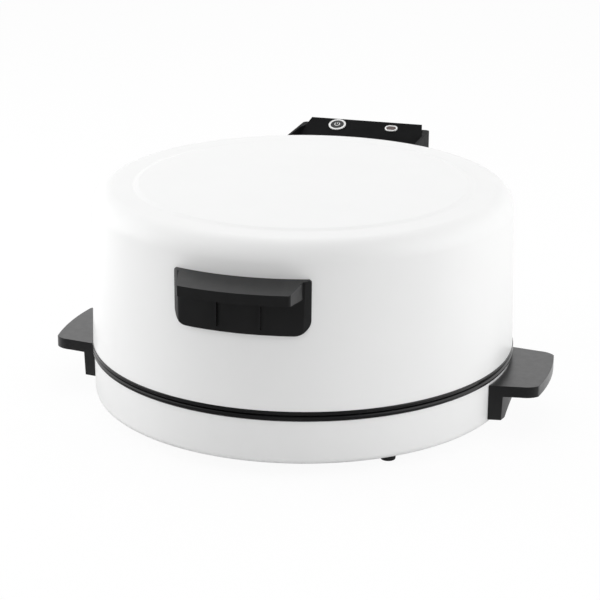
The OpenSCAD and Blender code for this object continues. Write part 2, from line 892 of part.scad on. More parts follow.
// The gland stands on the rear wall with +Z pointing out of the housing
module gland_place() {
    translate([gland_x, rear_y, gland_z]) rotate([-90, 0, 0]) children();
}

module cord_gland() {
    color(plastic_black) placed() gland_place() difference() {
        union() {
            translate([0, 0, -housing_t - 6]) cylinder(r = gland_r, h = housing_t + 6 + gland_out);
            cylinder(r = gland_flange_r, h = 2);
            translate([0, 0, -housing_t - 2]) cylinder(r = gland_flange_r - 1, h = 2);
        }
        translate([0, 0, -30]) cylinder(r = gland_bore_r, h = 60);
    }
}

module terminal_block() {
    color(ceramic) placed() translate([block_x, block_y, cover_up + housing_t]) difference() {
        cube([block_w, block_d, block_h]);
        for (i = [0 : 2]) translate([block_way(i) - block_x, block_d / 2, block_h - 4])
            cylinder(r = wire_r + 0.6, h = 5);
    }
}

// Leads inside the base: heater to terminals, heater to thermostat, thermostat to terminals
module lower_leads() {
    y_end = lower_leg_y + stud_l + 0.2;
    hole_z = block_top - 3;
    over_z = cover_top_z - 7;
    color(sleeve_grey) placed() {
        lead([
            [leg_x, y_end, lower_tube_z],
            [leg_x, y_end + 9, lower_tube_z],
            [leg_x, y_end + 14, lower_tube_z - 9],
            [4, base_r - 10, pass_z],
            [4, rim_r + 6, pass_z],
            [4, rim_r + 6, over_z],
            [block_way(1), rim_r + 6, over_z],
            [block_way(1), block_y + block_d / 2, over_z],
            [block_way(1), block_y + block_d / 2, hole_z]
        ], wire_r, wire_bend_r);
        lead([
            [-leg_x, y_end, lower_tube_z],
            [-leg_x, y_end + 9, lower_tube_z],
            [-leg_x - 8, y_end + 9, lead_z],
            [-leg_x - 8, lower_leg_y - 30, lead_z],
            [-stat_pin, stat_y + 40, lead_z],
            [-stat_pin, stat_y + 1.2, lead_z]
        ], wire_r, wire_bend_r);
        lead([
            [stat_pin, stat_y + 1.2, lead_z],
            [stat_pin, lower_leg_y + 12, lead_z],
            [-4, base_r - 10, pass_z],
            [-4, rim_r + 10, pass_z],
            [-4, rim_r + 10, over_z],
            [block_way(2), rim_r + 10, over_z],
            [block_way(2), block_y + block_d / 2, over_z],
            [block_way(2), block_y + block_d / 2, hole_z]
        ], wire_r, wire_bend_r);
    }
}

// The bimetal thermostat hangs by its ears from two pads, with its cap against the plate
module plate_thermostat() {
    top = plate_under_z;
    ears_z = plate_under_z - stat_pad - stat_ear_t;
    color(ceramic) placed() translate([0, stat_y, 0]) difference() {
        union() {
            translate([0, 0, top - stat_pad - stat_low]) cylinder(r = stat_r, h = stat_pad + stat_low);
            translate([0, 0, ears_z]) linear_extrude(stat_ear_t) oval(2 * stat_screw_x + 7, 7);
            for (side = [-1, 1]) translate([side * stat_pin - 1.5, -1, lead_z - wire_r])
                cube([3, 2, top - stat_pad - stat_low + 1 + wire_r - lead_z]);
        }
        for (side = [-1, 1]) translate([side * stat_screw_x, 0, ears_z - 1])
            cylinder(r = 1.5 + hole_gap, h = stat_ear_t + 2);
    }
}

module thermostat_screw_places() {
    for (side = [-1, 1]) translate([side * stat_screw_x, stat_y, 0]) children();
}

module thermostat_screws() {
    z = plate_under_z - stat_pad - stat_ear_t;
    color(bare_steel) placed() thermostat_screw_places() translate([0, 0, z]) small_screw(stat_ear_t + 5);
}

module thermal_fuse() {
    color(bare_steel) placed() translate([stat_pin, stat_y + 50, lead_z]) rotate([-90, 0, 0])
        difference() {
            cylinder(r = wire_r + 1.2, h = 16);
            translate([0, 0, -1]) cylinder(r = wire_r + 0.1, h = 18);
        }
}

module wall_grommet() {
    color(plastic_black) placed() wall_pass() translate([0, 0, base_t / 2]) difference() {
        union() {
            cylinder(r = pass_r - 0.1, h = base_t + 3, center = true);
            for (s = [-1, 1]) translate([0, 0, s * (base_t / 2 + 1.2)])
                cylinder(r = pass_r + 1.8, h = 1.6, center = true);
        }
        cylinder(r = 4 + wire_r + 0.4, h = 20, center = true);
    }
}

// The earth lead with its ring lug, which is screwed to the hinge bracket
module earth_lead() {
    over_z = cover_top_z - 5.4;
    tail_x = -lug_d * sin(earth_angle) - lug_tail * cos(earth_angle);
    tail_y = (lug_d + tail_x * sin(earth_angle)) / cos(earth_angle);
    color([0.35, 0.55, 0.2]) placed() {
        lead([
            [block_way(0), block_y + block_d / 2, block_top - 3],
            [block_way(0), block_y + block_d / 2, over_z],
            [tail_x - 7.5, block_y - 4, earth_z],
            [tail_x, tail_y + 6, earth_z],
            [tail_x, tail_y + lug_seat, earth_z]
        ], wire_r, wire_bend_r);
        earth_place() difference() {
            union() {
                cylinder(r = 4, h = lug_t);
                translate([-2, 2, 0]) cube([4, lug_tail, lug_t]);
            }
            translate([0, 0, -1]) cylinder(r = screw_r + hole_gap, h = lug_t + 2);
        }
    }
}

// Where the earth lug lies on the hinge bracket, with +Z towards the body
module earth_place() {
    rotate([0, 0, 90 + earth_angle]) translate([lug_d, 0, earth_z])
        rotate([0, -90, 0]) children();
}

module earth_screw() {
    color(bare_steel) placed() earth_place() screw(lug_t + hinge_t + base_t + 4);
}

// The sheathed supply lead rises to the hinge axis and runs along it, where its upper half takes over
module supply_lead_lower() {
    y = block_y + block_d + 4;
    z = cover_top_z - 6.4;
    x = (block_way(0) + block_way(1)) / 2;
    color(sleeve_grey) placed() lead([
        [x, block_y + block_d - 2, block_top + 0.2],
        [x, block_y + block_d - 2, z],
        [-lead_x - 10, y, z],
        [-lead_x, hinge_y, z],
        [-lead_x, hinge_y, hinge_z],
        [-lid_clear / 2, hinge_y, hinge_z]
    ], lead_r, lead_bend_r);
}

// Lid

module lid_shell() {
    z0 = lid_z - trim_groove;
    color(paint_white) placed() difference() {
        rotate_extrude() difference() {
            union() {
                dome_outline(0, z0);
                step_outline(0);
            }
            dome_outline(-lid_t, z0 - 1);
            step_outline(-lid_t);
        }
        bushing_places() cylinder(r = bushing_r + hole_gap, h = 40, center = true);
        upper_rivet_places() cylinder(r = rivet_r + hole_gap, h = 20, center = true);
        upper_screw_places() cylinder(r = screw_r + hole_gap, h = 60, center = true);
        handle_screw_places() cylinder(r = screw_r + hole_gap, h = 40, center = true);
    }
}

module lid_trim_ring() {
    inner_r = rim_r - trim_w;
    color(rim_black) placed() rotate_extrude() difference() {
        union() {
            translate([inner_r, trim_z]) square([bead_c - inner_r, bead_h]);
            translate([bead_c, trim_z + bead_r]) circle(bead_r);
        }
        translate([lid_r - lid_t - 0.1, lid_z - trim_groove]) square([lid_t + 0.3, bead_h]);
    }
}

// Outline of the liner as one solid, grown outwards by g
module liner_outline(g, z0) {
    polygon([
        [0, z0],
        [liner_r + g, z0],
        [liner_top_r + g, liner_z - liner_shoulder],
        [liner_top_r - liner_shoulder, liner_z + g],
        [0, liner_z + g]
    ]);
    translate([liner_top_r - liner_shoulder, liner_z - liner_shoulder]) circle(liner_shoulder + g);
}

module lid_liner() {
    color(bright_alu) placed() difference() {
        rotate_extrude() {
            difference() {
                liner_outline(0, lid_z);
                liner_outline(-liner_t, lid_z - 1);
            }
            translate([liner_r - tiny, lid_z])
                square([lid_r - lid_t - hole_gap - liner_r, liner_t]);
        }
        bushing_places() cylinder(r = bushing_r + hole_gap, h = 40, center = true);
        hanger_places() cylinder(r = screw_r + hole_gap, h = 20, center = true);
    }
}

module lid_insulation() {
    color(wool) placed() difference() {
        translate([0, 0, liner_z + seat_gap])
            cylinder(r = liner_top_r - liner_shoulder, h = insulation_t);
        hanger_places() cylinder(r = 6, h = 12, center = true);
    }
}

module upper_heater() {
    color(tube_steel) placed() heater_loop(upper_loop_r, upper_tube_z, upper_leg_y);
}

// Where the heater legs pass the liner and the lid, with +Z towards the rear
module bushing_places() {
    for (side = [-1, 1]) translate([side * leg_x, bushing_y, upper_tube_z])
        rotate([-90, 0, 0]) children();
}

module heater_bushings() {
    color(ceramic) placed() bushing_places() difference() {
        union() {
            translate([0, 0, -bushing_in]) cylinder(r = bushing_r, h = bushing_in + bushing_out);
            translate([0, 0, 1]) cylinder(r = bushing_r + 2.5, h = 3);
        }
        cylinder(r = tube_r + 0.15, h = 60, center = true);
    }
}

// Where the hangers are fixed under the ceiling of the liner
module hanger_places() {
    on_ring([0, 120, 240], upper_loop_r, liner_z) children();
}

module upper_heater_hangers() {
    ceiling = -liner_t - seat_gap / 2;
    drop = upper_drop - seat_gap / 2;
    color(bare_steel) placed() hanger_places() difference() {
        union() {
            translate([0, 0, -liner_t - upper_drop]) rotate([90, 0, 0])
                cylinder(r = tube_r + 1.5, h = 10, center = true);
            translate([-0.7, -5, -liner_t - upper_drop]) cube([1.4, 10, drop]);
            translate([-8, -8, ceiling - 1.2]) cube([16, 16, 1.2]);
            translate([0, 0, ceiling - 1]) cylinder(r = screw_r, h = liner_t + 3);
            translate([0, 0, seat_gap / 2]) cylinder(r = screw_r + 1.6, h = 1.6);
        }
        translate([0, 0, -liner_t - upper_drop]) rotate([90, 0, 0])
            cylinder(r = tube_r + 0.15, h = 20, center = true);
    }
}

// Where the handle screws pass the lid wall, with +Z towards the front
module handle_screw_places() {
    for (side = [-1, 1]) translate([side * handle_screw_x, -handle_screw_y, handle_screw_z])
        rotate([90, 0, 0]) children();
}

// The plan of the grip, with round front corners that touch the arc of radius front_y
module grip_plan(w, root_w, r, corner) {
    c = w / 2 - corner;
    y = sqrt(pow(r - corner, 2) - c * c);
    root_y = sqrt(pow(wall_r(handle_z), 2) - pow(root_w / 2, 2));
    polygon([[-root_w / 2, -root_y], [-w / 2, -y], [w / 2, -y], [root_w / 2, -root_y]]);
    translate([-c, -r - 2]) square([2 * c, 60]);
    for (side = [-1, 1]) translate([side * c, -y]) circle(corner);
}

module lid_handle() {
    wall = wall_r(handle_top_z);
    lip_z = handle_top_z - grip_fall;
    lip_low = lip_z - grip_lip_h;
    inner = wall + handle_plate_t - 1;
    color(plastic_black) placed() difference() {
        union() {
            intersection() {
                dome_solid(handle_plate_t, handle_z - 10);
                rotate([90, 0, 0]) linear_extrude(front_y) handle_plate_outline();
                translate([0, 0, handle_z - 1]) linear_extrude(handle_plate_h + 2) handle_plate_plan();
            }
            intersection() {
                dome_solid(handle_plate_t + 3, handle_z - 10);
                for (side = [-1, 1]) translate([side * handle_rib_x - 1.1, -front_y, handle_z + 5])
                    cube([2.2, 60, handle_plate_h - 10]);
            }
            difference() {
                intersection() {
                    rotate_extrude() polygon([
                        [wall - 8, lip_low],
                        [front_y, lip_low],
                        [front_y, handle_top_z],
                        [wall - 8, handle_top_z]
                    ]);
                    translate([0, 0, lip_low - 1]) linear_extrude(60)
                        grip_plan(grip_w, grip_root_w, front_y, grip_corner);
                }
                intersection() {
                    rotate_extrude() polygon([
                        [inner, lip_low - 1],
                        [front_y - grip_t + 0.5, lip_low - 1],
                        [front_y - grip_t + 0.5, lip_z - grip_t],
                        [inner, handle_top_z - grip_t - 1.5]
                    ]);
                    translate([-grip_w / 2 + grip_t, -front_y, lip_low - 2])
                        cube([grip_w - 2 * grip_t, 60, 40]);
                }
            }
            handle_screw_places() cylinder(r = 4.5, h = 15);
        }
        rotate_extrude() polygon([
            [wall, handle_top_z],
            [front_y + 1, lip_z - grip_fall / (front_y - wall)],
            [front_y + 1, handle_top_z + 1],
            [wall, handle_top_z + 1]
        ]);
        dome_solid(hole_gap / 2, handle_z - 20);
        handle_screw_places() cylinder(r = screw_r + hole_gap / 2, h = 13.5);
    }
}

// Plan of the handle plate, whose ends slope in from the wall to its front
module handle_plate_plan() {
    half = handle_w / 2;
    face = half - plate_bevel;
    wall = wall_r(handle_z);
    root_y = sqrt(wall * wall - half * half);
    face_y = sqrt(pow(wall + handle_plate_t, 2) - face * face);
    polygon([
        [-half, 0],
        [-half, -root_y],
        [-face, -face_y],
        [-face, -front_y],
        [face, -front_y],
        [face, -face_y],
        [half, -root_y],
        [half, 0]
    ]);
}

// Front view of the handle plate, round at its bottom corners
module handle_plate_outline() {
    c = handle_w / 2 - plate_corner;
    t = 3;
    translate([-handle_w / 2, handle_z + plate_corner])
        square([handle_w, handle_plate_h - plate_corner - t]);
    translate([-c, handle_z]) square([2 * c, plate_corner]);
    translate([-handle_w / 2 + t, handle_z + plate_corner])
        square([handle_w - 2 * t, handle_plate_h - plate_corner]);
    for (side = [-1, 1]) {
        translate([side * c, handle_z + plate_corner]) circle(plate_corner);
        translate([side * (handle_w / 2 - t), handle_top_z - t]) circle(t);
    }
}

module lid_handle_screws() {
    color(bare_steel) placed() handle_screw_places() translate([0, 0, -curve_seat]) screw(curve_seat + 12);
}

module hinge_arms() {
    r0 = wall_r(upper_strap_z) + 0.1;
    r1 = wall_r(upper_strap_top) + 0.1;
    color(bare_steel) placed() difference() {
        union() {
            difference() {
                union() {
                    strap(r0, r1, upper_strap_z, upper_strap_top, hinge_t);
                    hinge_places() across(-arm_t / 2, arm_t / 2) arm_outline();
                }
                dome_solid(0.1, lid_z - 4);
            }
            hinge_places() on_hinge_axis(hub_r, hub_l);
        }
        hinge_places() on_hinge_axis(pin_r + pin_fit, 20);
        upper_rivet_places() cylinder(r = rivet_r + hole_gap, h = 20, center = true);
        upper_screw_places() cylinder(r = screw_r + hole_gap, h = 40, center = true);
    }
}

// Outline of an arm of the lid, in Y and Z
module arm_outline() {
    foot_y = lid_top_r - 20;
    polygon([
        [hinge_y - hub_r, hinge_z],
        [hinge_y + hub_r, hinge_z],
        [hinge_y + hub_r, hinge_z + 18],
        [rim_r + 4, upper_strap_top - 3],
        [foot_y, upper_strap_top - 3],
        [foot_y, upper_strap_z + 2]
    ]);
    translate([hinge_y, hinge_z]) circle(hub_r);
}

// Where the arms are riveted to the lid wall, with +Z outwards
module upper_rivet_places() {
    for (a = [-4.2, 4.2], z = [upper_strap_z + 10, upper_strap_top - 10])
        rotate([0, 0, 90 + a]) translate([wall_r(z), 0, z]) rotate([0, 90, 0]) children();
}

module arm_rivets() {
    color(bare_steel) placed() upper_rivet_places()
        translate([0, 0, -lid_t - lean_seat]) rivet(lid_t + hinge_t + 2 * lean_seat);
}

// Where the upper housing is screwed on, at the bottom of its wells, with +Z towards the front
module upper_screw_places() {
    for (side = [-1, 1], z = [upper_boss_low_z, upper_boss_high_z])
        translate([side * upper_boss_x, rim_r + well_in, z]) rotate([90, 0, 0]) children();
}

module rear_housing_upper() {
    z1 = cheek_z - housing_z;
    ledge = 2.2;
    solid_z = panel_z(lid_top_r - 16) - 7;
    color(plastic_black) placed() difference() {
        union() {
            difference() {
                translate([0, 0, housing_z]) linear_extrude(z1)
                    housing_plan(housing_w, lid_top_r - 40, rear_y, housing_corner);
                translate([0, 0, housing_z + housing_t]) linear_extrude(solid_z - housing_z - housing_t)
                    housing_plan(housing_w - 2 * housing_t, lid_top_r - 41, rear_y - housing_t,
                        housing_corner - housing_t);
                translate([-panel_w / 2 + ledge, lid_top_r - 41, solid_z - tiny])
                    cube([panel_w - 2 * ledge, rear_y - housing_t - lid_top_r + 41, 60]);
            }
            upper_screw_places() mirror([0, 0, 1])
                cylinder(r = screw_boss_r, h = housing_depth - well_in - 1);
            upper_screw_places() cylinder(r = screw_boss_r, h = well_in + 10);
        }
        dome_solid(lid_clear, lid_z - 4);
        strap(base_r - 40, base_r - 40, upper_strap_z - 1, upper_strap_top + 1,
            40 + lid_inset + hinge_t + lid_clear + 0.6);
        intersection() {
            across(-housing_w / 2, housing_w / 2) polygon([
                [rear_y - panel_back, panel_z(rear_y - panel_back) - panel_t - seat_gap],
                [rear_y + 1, panel_z(rear_y + 1) - panel_t - seat_gap],
                [rear_y + 1, ridge_z + 20],
                [rear_y - panel_back, ridge_z + 20]
            ]);
            translate([0, 0, housing_z]) linear_extrude(ridge_z - housing_z + 10) panel_plan(hole_gap);
        }
        upper_screw_places() {
            cylinder(r = screw_r + hole_gap, h = 60, center = true);
            mirror([0, 0, 1]) cylinder(r = well_r, h = housing_depth);
        }
        hinge_places() translate([-ear_in - ear_t - 1, base_r - 60, housing_z - 1])
            cube([2 * (ear_in + ear_t + 1), rear_y - housing_t - base_r + 60, housing_t + 2]);
        translate([lead_x, hinge_y, housing_z - 1]) cylinder(r = lead_r + 1, h = housing_t + 2);
        for (i = [0 : vent_count - 1]) translate([0, rear_y, vent_z + i * vent_pitch])
            rotate([90, 0, 0]) linear_extrude(3 * housing_t, center = true) oval(vent_l, vent_w);
    }
}

module upper_housing_screws() {
    color(bare_steel) placed() upper_screw_places() screw(well_in + 9);
}

// Plan of the control panel, whose sides run out to the cheeks, grown all round by grow
module panel_plan(grow) {
    half = panel_w / 2 + grow;
    front_half = housing_w / 2 - housing_t - hole_gap + grow;
    polygon([
        [-half, rear_y + 1],
        [-half, rear_y],
        [-front_half, rear_y - panel_flare],
        [-front_half, rear_y - panel_back],
        [front_half, rear_y - panel_back],
        [front_half, rear_y - panel_flare],
        [half, rear_y],
        [half, rear_y + 1]
    ]);
}

module control_panel() {
    skirt_z = cheek_z + hole_gap;
    under = panel_t / cos(panel_slope);
    skirt_y = rear_y - (ridge_z - under - skirt_z) / tan(panel_slope);
    half = housing_w / 2;
    color(plastic_black) placed() difference() {
        union() {
            intersection() {
                across(-half, half) {
                    polygon([
                        [rear_y - 80, panel_z(rear_y - 80) - panel_t],
                        [rear_y - 80, panel_z(rear_y - 80)],
                        [rear_y, ridge_z],
                        [rear_y, ridge_z - panel_t]
                    ]);
                    polygon([
                        [rear_y - panel_t, skirt_z],
                        [rear_y, skirt_z],
                        [rear_y, ridge_z],
                        [rear_y - panel_t, ridge_z - 2]
                    ]);
                }
                translate([0, 0, housing_z]) linear_extrude(ridge_z - housing_z + 10) panel_plan(0);
            }
            intersection() {
                across(-half, half) polygon([
                    [skirt_y - 4, skirt_z],
                    [rear_y, skirt_z],
                    [rear_y, ridge_z - 1],
                    [skirt_y - 4, panel_z(skirt_y - 4) - 1]
                ]);
                translate([0, 0, housing_z]) linear_extrude(ridge_z - housing_z + 10) difference() {
                    panel_plan(0);
                    panel_plan(-panel_skirt_t);
                }
            }
            board_post_places() translate([0, 0, -board_down]) cylinder(r = 2.6, h = board_down - 1);
        }
        dome_solid(lid_clear, lid_z);
        on_panel(-control_x) cylinder(r = barrel_r + hole_gap / 4, h = 12, center = true);
        on_panel(control_x) linear_extrude(12, center = true) oval(lamp_l - 1.6, lamp_w - 1.6);
        board_post_places() translate([0, 0, -board_down - 1]) cylinder(r = 1, h = board_down - 1);
    }
}

module board_post_places() {
    for (side = [-1, 1], y = [-board_front + 4, -4])
        on_panel(side * (board_w / 2 - 4)) translate([0, y, 0]) children();
}

module button_bezel() {
    color([0.92, 0.92, 0.92]) placed() on_panel(-control_x) difference() {
        union() {
            cylinder(r = bezel_r, h = bezel_h);
            translate([0, 0, -panel_t - 0.6]) cylinder(r = barrel_r, h = panel_t + 0.6 + tiny);
        }
        cylinder(r = barrel_bore_r, h = 20, center = true);
    }
}

module power_button() {
    color(plastic_black) placed() on_panel(-control_x) {
        translate([0, 0, bezel_h - button_cap]) cylinder(r = button_r, h = button_cap);
        translate([0, 0, -board_down + switch_h + switch_gap])
            cylinder(r = 2, h = board_down - switch_h - switch_gap);
    }
}

module pilot_bezel() {
    color([0.92, 0.92, 0.92]) placed() on_panel(control_x) difference() {
        union() {
            linear_extrude(bezel_h) oval(lamp_l, lamp_w);
            translate([0, 0, -panel_t]) linear_extrude(panel_t + tiny) oval(lamp_l - 2, lamp_w - 2);
        }
        linear_extrude(20, center = true) oval(lamp_l - 3.4, lamp_w - 3.4);
    }
}

module pilot_lens() {
    color([0.9, 0.75, 0.6]) placed() on_panel(control_x)
        translate([0, 0, -panel_t]) linear_extrude(panel_t + bezel_h - 0.2)
            oval(lamp_l - 3.6, lamp_w - 3.6);
}

module control_board() {
    color([0.1, 0.35, 0.2]) placed() on_panel(0) difference() {
        translate([-board_w / 2, -board_front, -board_down - board_t])
            cube([board_w, board_front + board_back, board_t - seat_gap / 2]);
        for (side = [-1, 1], y = [-board_front + 4, -4])
            translate([side * (board_w / 2 - 4), y, -board_down - board_t - 1])
                cylinder(r = 1.2, h = board_t + 2);
    }
}

module board_screws() {
    color(bare_steel) placed() board_post_places() {
        translate([0, 0, -board_down - board_t - 1.5]) cylinder(r = 2.4, h = 1.4);
        translate([0, 0, -board_down - board_t - 0.2]) cylinder(r = 0.95, h = 6);
    }
}

module board_switch() {
    color([0.3, 0.3, 0.32]) placed() on_panel(-control_x) difference() {
        translate([-3.2, -3.2, -board_down]) cube([6.4, 6.4, switch_h]);
        translate([0, 0, -board_down - 1]) cylinder(r = 2.3, h = switch_h + 2);
    }
}

module board_relay() {
    color([0.15, 0.3, 0.65]) placed() on_panel(0)
        translate([-9, -board_front + 2, -board_down - board_t - relay_h])
        cube([18, 15, relay_h - 0.1]);
}

module board_lamp() {
    color([0.9, 0.5, 0.2]) placed() on_panel(control_x) {
        translate([0, 0, -board_down]) cylinder(r = 2, h = board_down - panel_t - 2.6);
        translate([0, 0, -panel_t - 2.6]) sphere(2);
    }
}

// Leads from the relay on the board to the studs of the upper heater
module upper_leads() {
    y = relay_under_y;
    z = relay_under_z;
    color(sleeve_grey) placed() for (side = [-1, 1]) lead([
        [side * 6, y, z + 2.3],
        [side * 6, y, z - 4],
        [side * leg_x, y, upper_tube_z],
        [side * leg_x, upper_leg_y + stud_l + 0.2, upper_tube_z]
    ], wire_r, 2.4);
}

module supply_lead_upper() {
    color(sleeve_grey) placed() lead([
        [lid_clear / 2, hinge_y, hinge_z],
        [lead_x, hinge_y, hinge_z],
        [lead_x, hinge_y, housing_z + 60],
        [0, relay_under_y + 4, relay_under_z - 24],
        [0, relay_under_y + 4, relay_under_z + 3.1]
    ], lead_r, lead_bend_r);
}

base_shell();
baking_plate();
lower_heater();
lower_heater_clamps();
clamp_screws();
lower_reflector();
plate_thermostat();
thermostat_screws();
thermal_fuse();
plate_posts();
post_screws();
feet();
foot_screws();
foot_nuts();
side_handle_left();
side_handle_right();
side_handle_screws();
hinge_bracket();
bracket_rivets();
hinge_pins();
pin_clips();
rear_cover_lower();
lower_cover_screws();
cord_gland();
terminal_block();
wall_grommet();
lower_leads();
earth_lead();
earth_screw();
supply_lead_lower();
lid_shell();
lid_trim_ring();
lid_liner();
lid_insulation();
upper_heater();
heater_bushings();
upper_heater_hangers();
lid_handle();
lid_handle_screws();
hinge_arms();
arm_rivets();
rear_housing_upper();
upper_housing_screws();
control_panel();
button_bezel();
power_button();
pilot_bezel();
pilot_lens();
control_board();
board_switch();
board_relay();
board_lamp();
board_screws();
upper_leads();
supply_lead_upper();
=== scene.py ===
"""The looks of an electric pizza maker: a white domed lid on a shallow white base, with black handles.

Lengths are in metres. The origin is under the middle of the footprint, +Z is up and the front is -Y.
"""

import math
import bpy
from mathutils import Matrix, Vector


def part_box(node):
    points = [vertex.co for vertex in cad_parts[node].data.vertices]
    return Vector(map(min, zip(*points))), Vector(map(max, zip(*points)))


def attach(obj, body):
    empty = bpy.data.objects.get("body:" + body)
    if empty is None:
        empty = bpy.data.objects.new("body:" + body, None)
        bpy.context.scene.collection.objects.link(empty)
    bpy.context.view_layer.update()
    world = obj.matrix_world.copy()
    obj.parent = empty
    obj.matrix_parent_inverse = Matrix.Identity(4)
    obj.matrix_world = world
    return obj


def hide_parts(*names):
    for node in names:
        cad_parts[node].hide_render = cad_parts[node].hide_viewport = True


bl_info = {
    "name": "Electric Pizza Maker",
    "version": (1, 0, 0),
    "blender": (4, 5, 0),
    "location": "3D View > Sidebar > Pizza Maker",
    "description": "Dresses the pizza maker's solids with finished pieces and materials",
    "category": "Object",
}

import bmesh
import bpy
from bpy.props import FloatProperty, FloatVectorProperty, IntProperty, PointerProperty
from mathutils import Matrix, Vector

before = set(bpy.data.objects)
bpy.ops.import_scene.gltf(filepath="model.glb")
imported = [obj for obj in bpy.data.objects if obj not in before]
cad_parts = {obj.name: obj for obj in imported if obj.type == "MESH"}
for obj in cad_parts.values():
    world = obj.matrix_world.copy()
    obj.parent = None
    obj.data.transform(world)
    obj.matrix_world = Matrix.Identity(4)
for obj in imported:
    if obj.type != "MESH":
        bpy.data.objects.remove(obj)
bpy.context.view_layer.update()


def box_of(node):
    """The lowest and highest corners of one of the solids."""
    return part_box(node)


RIM = box_of("lid_trim_ring")
PLATE = box_of("baking_plate")
LID = box_of("lid_shell")
WALL = box_of("base_shell")
AXIS_Y = (RIM[0].y + RIM[1].y) / 2
RIM_R = (RIM[1].x - RIM[0].x) / 2


class PizzaMakerSizes(bpy.types.PropertyGroup):
    """Sizes of the pieces that this file shapes."""

    lid_draft: FloatProperty(
        name="Lid draft",
        description="How much the lid wall draws in from its foot to its shoulder",
        default=0.0035, min=0.0, max=0.01, unit="LENGTH",
    )
    shoulder: FloatProperty(
        name="Lid shoulder",
        description="Radius of the rounded shoulder of the lid",
        default=0.020, min=0.005, max=0.04, unit="LENGTH",
    )
    lid_step: FloatProperty(
        name="Raised middle",
        description="Radius of the raised middle of the lid",
        default=0.164, min=0.1, max=0.18, unit="LENGTH",
    )
    panel_slope: FloatProperty(
        name="Panel slope",
        description="Slope of the control panel",
        default=math.radians(21.5), min=0.0, max=0.6, subtype="ANGLE",
    )
    steps: IntProperty(
        name="Round steps",
        description="Number of steps round the turned pieces",
        default=288, min=48, max=512,
    )


class PizzaMakerColours(bpy.types.PropertyGroup):
    """Colours of the finishes."""

    paint: FloatVectorProperty(
        name="Paint", description="Satin paint of the lid and the base",
        subtype="COLOR", size=3, default=(0.86, 0.862, 0.86), min=0.0, max=1.0,
    )
    plastic: FloatVectorProperty(
        name="Plastic", description="Heat-resistant plastic of the handles and housings",
        subtype="COLOR", size=3, default=(0.007, 0.0072, 0.0076), min=0.0, max=1.0,
    )
    rim: FloatVectorProperty(
        name="Rim", description="Glossy beads between the lid and the base",
        subtype="COLOR", size=3, default=(0.006, 0.006, 0.0065), min=0.0, max=1.0,
    )
    coating: FloatVectorProperty(
        name="Coating", description="Non-stick coating of the baking plate",
        subtype="COLOR", size=3, default=(0.018, 0.018, 0.019), min=0.0, max=1.0,
    )
    backdrop: FloatVectorProperty(
        name="Backdrop", description="Colour of the studio floor and wall",
        subtype="COLOR", size=3, default=(1.0, 1.0, 1.0), min=0.0, max=1.0,
    )


def sizes():
    """The sizes stored in the scene."""
    return bpy.context.scene.pizza_maker_sizes


def colours():
    """The colours stored in the scene."""
    return bpy.context.scene.pizza_maker_colours


class Finish:
    """A material under construction: a Principled shader with helpers for its procedural nodes."""

    def __init__(self, name, rough=0.5, metal=0.0, **plain):
        self.material = bpy.data.materials.new(name)
        self.material.use_nodes = True
        self.tree = self.material.node_tree
        self.shader = self.tree.nodes["Principled BSDF"]
        self.shader.inputs["Roughness"].default_value = rough
        self.shader.inputs["Metallic"].default_value = metal
        for socket, value in plain.items():
            self.shader.inputs[socket.replace("_", " ")].default_value = value
        self.place = self.tree.nodes.new("ShaderNodeTexCoord").outputs["Object"]

    def node(self, kind, inputs=None, **settings):
        """A new node with its settings and inputs; an input may be a value or another node's output."""
        made = self.tree.nodes.new(kind)
        for key, value in settings.items():
            setattr(made, key, value)
        for key, value in (inputs or {}).items():
            if isinstance(value, bpy.types.NodeSocket):
                self.tree.links.new(value, made.inputs[key])
            else:
                made.inputs[key].default_value = value
        return made

    def stretched(self, scale, about=(0.0, 0.0, 0.0)):
        """The object's own coordinates, moved and stretched."""
        return self.node(
            "ShaderNodeMapping",
            {"Vector": self.place, "Location": [-a * s for a, s in zip(about, scale)], "Scale": scale},
        ).outputs["Vector"]

    def noise(self, scale, detail=2.0, place=None):
        """A noise of the given number of spots per metre."""
        return self.node(
            "ShaderNodeTexNoise", {"Vector": place or self.place, "Scale": scale, "Detail": detail}
        ).outputs["Fac"]

    def cells(self, scale):
        """The distance from the middle of the nearest cell."""
        return self.node("ShaderNodeTexVoronoi", {"Vector": self.place, "Scale": scale}).outputs["Distance"]

    def rings(self, scale):
        """Turned rings about the axis of the round body."""
        return self.node(
            "ShaderNodeTexWave",
            {"Vector": self.stretched((1.0, 1.0, 1.0), (0.0, AXIS_Y, 0.0)), "Scale": scale,
             "Distortion": 1.2, "Detail": 2.0, "Detail Scale": 8.0},
            wave_type="RINGS", rings_direction="Z",
        ).outputs["Fac"]

    def span(self, factor, low, high, start=0.25, end=0.75):
        """Turns a factor into a value from low to high."""
        return self.node(
            "ShaderNodeMapRange",
            {"Value": factor, "From Min": start, "From Max": end, "To Min": low, "To Max": high},
        ).outputs["Result"]

    def shades(self, factor, *stops):
        """A colour ramp over a factor, with stops of (place, colour)."""
        ramp = self.node("ShaderNodeValToRGB", {"Fac": factor})
        elements = ramp.color_ramp.elements
        while len(elements) < len(stops):
            elements.new(0.5)
        for element, (place, colour) in zip(elements, stops):
            element.position = place
            element.color = (*colour, 1.0)
        return ramp.outputs["Color"]

    def into(self, socket, value):
        """Links an output to a socket of the shader."""
        self.tree.links.new(value, self.shader.inputs[socket])
        return self

    def bump(self, height, strength, distance):
        """Relief from a height, in metres."""
        relief = self.node(
            "ShaderNodeBump", {"Height": height, "Strength": strength, "Distance": distance}
        )
        return self.into("Normal", relief.outputs["Normal"])


def times(colour, factor):
    """A colour made lighter or darker."""
    return tuple(min(1.0, c * factor) for c in colour)


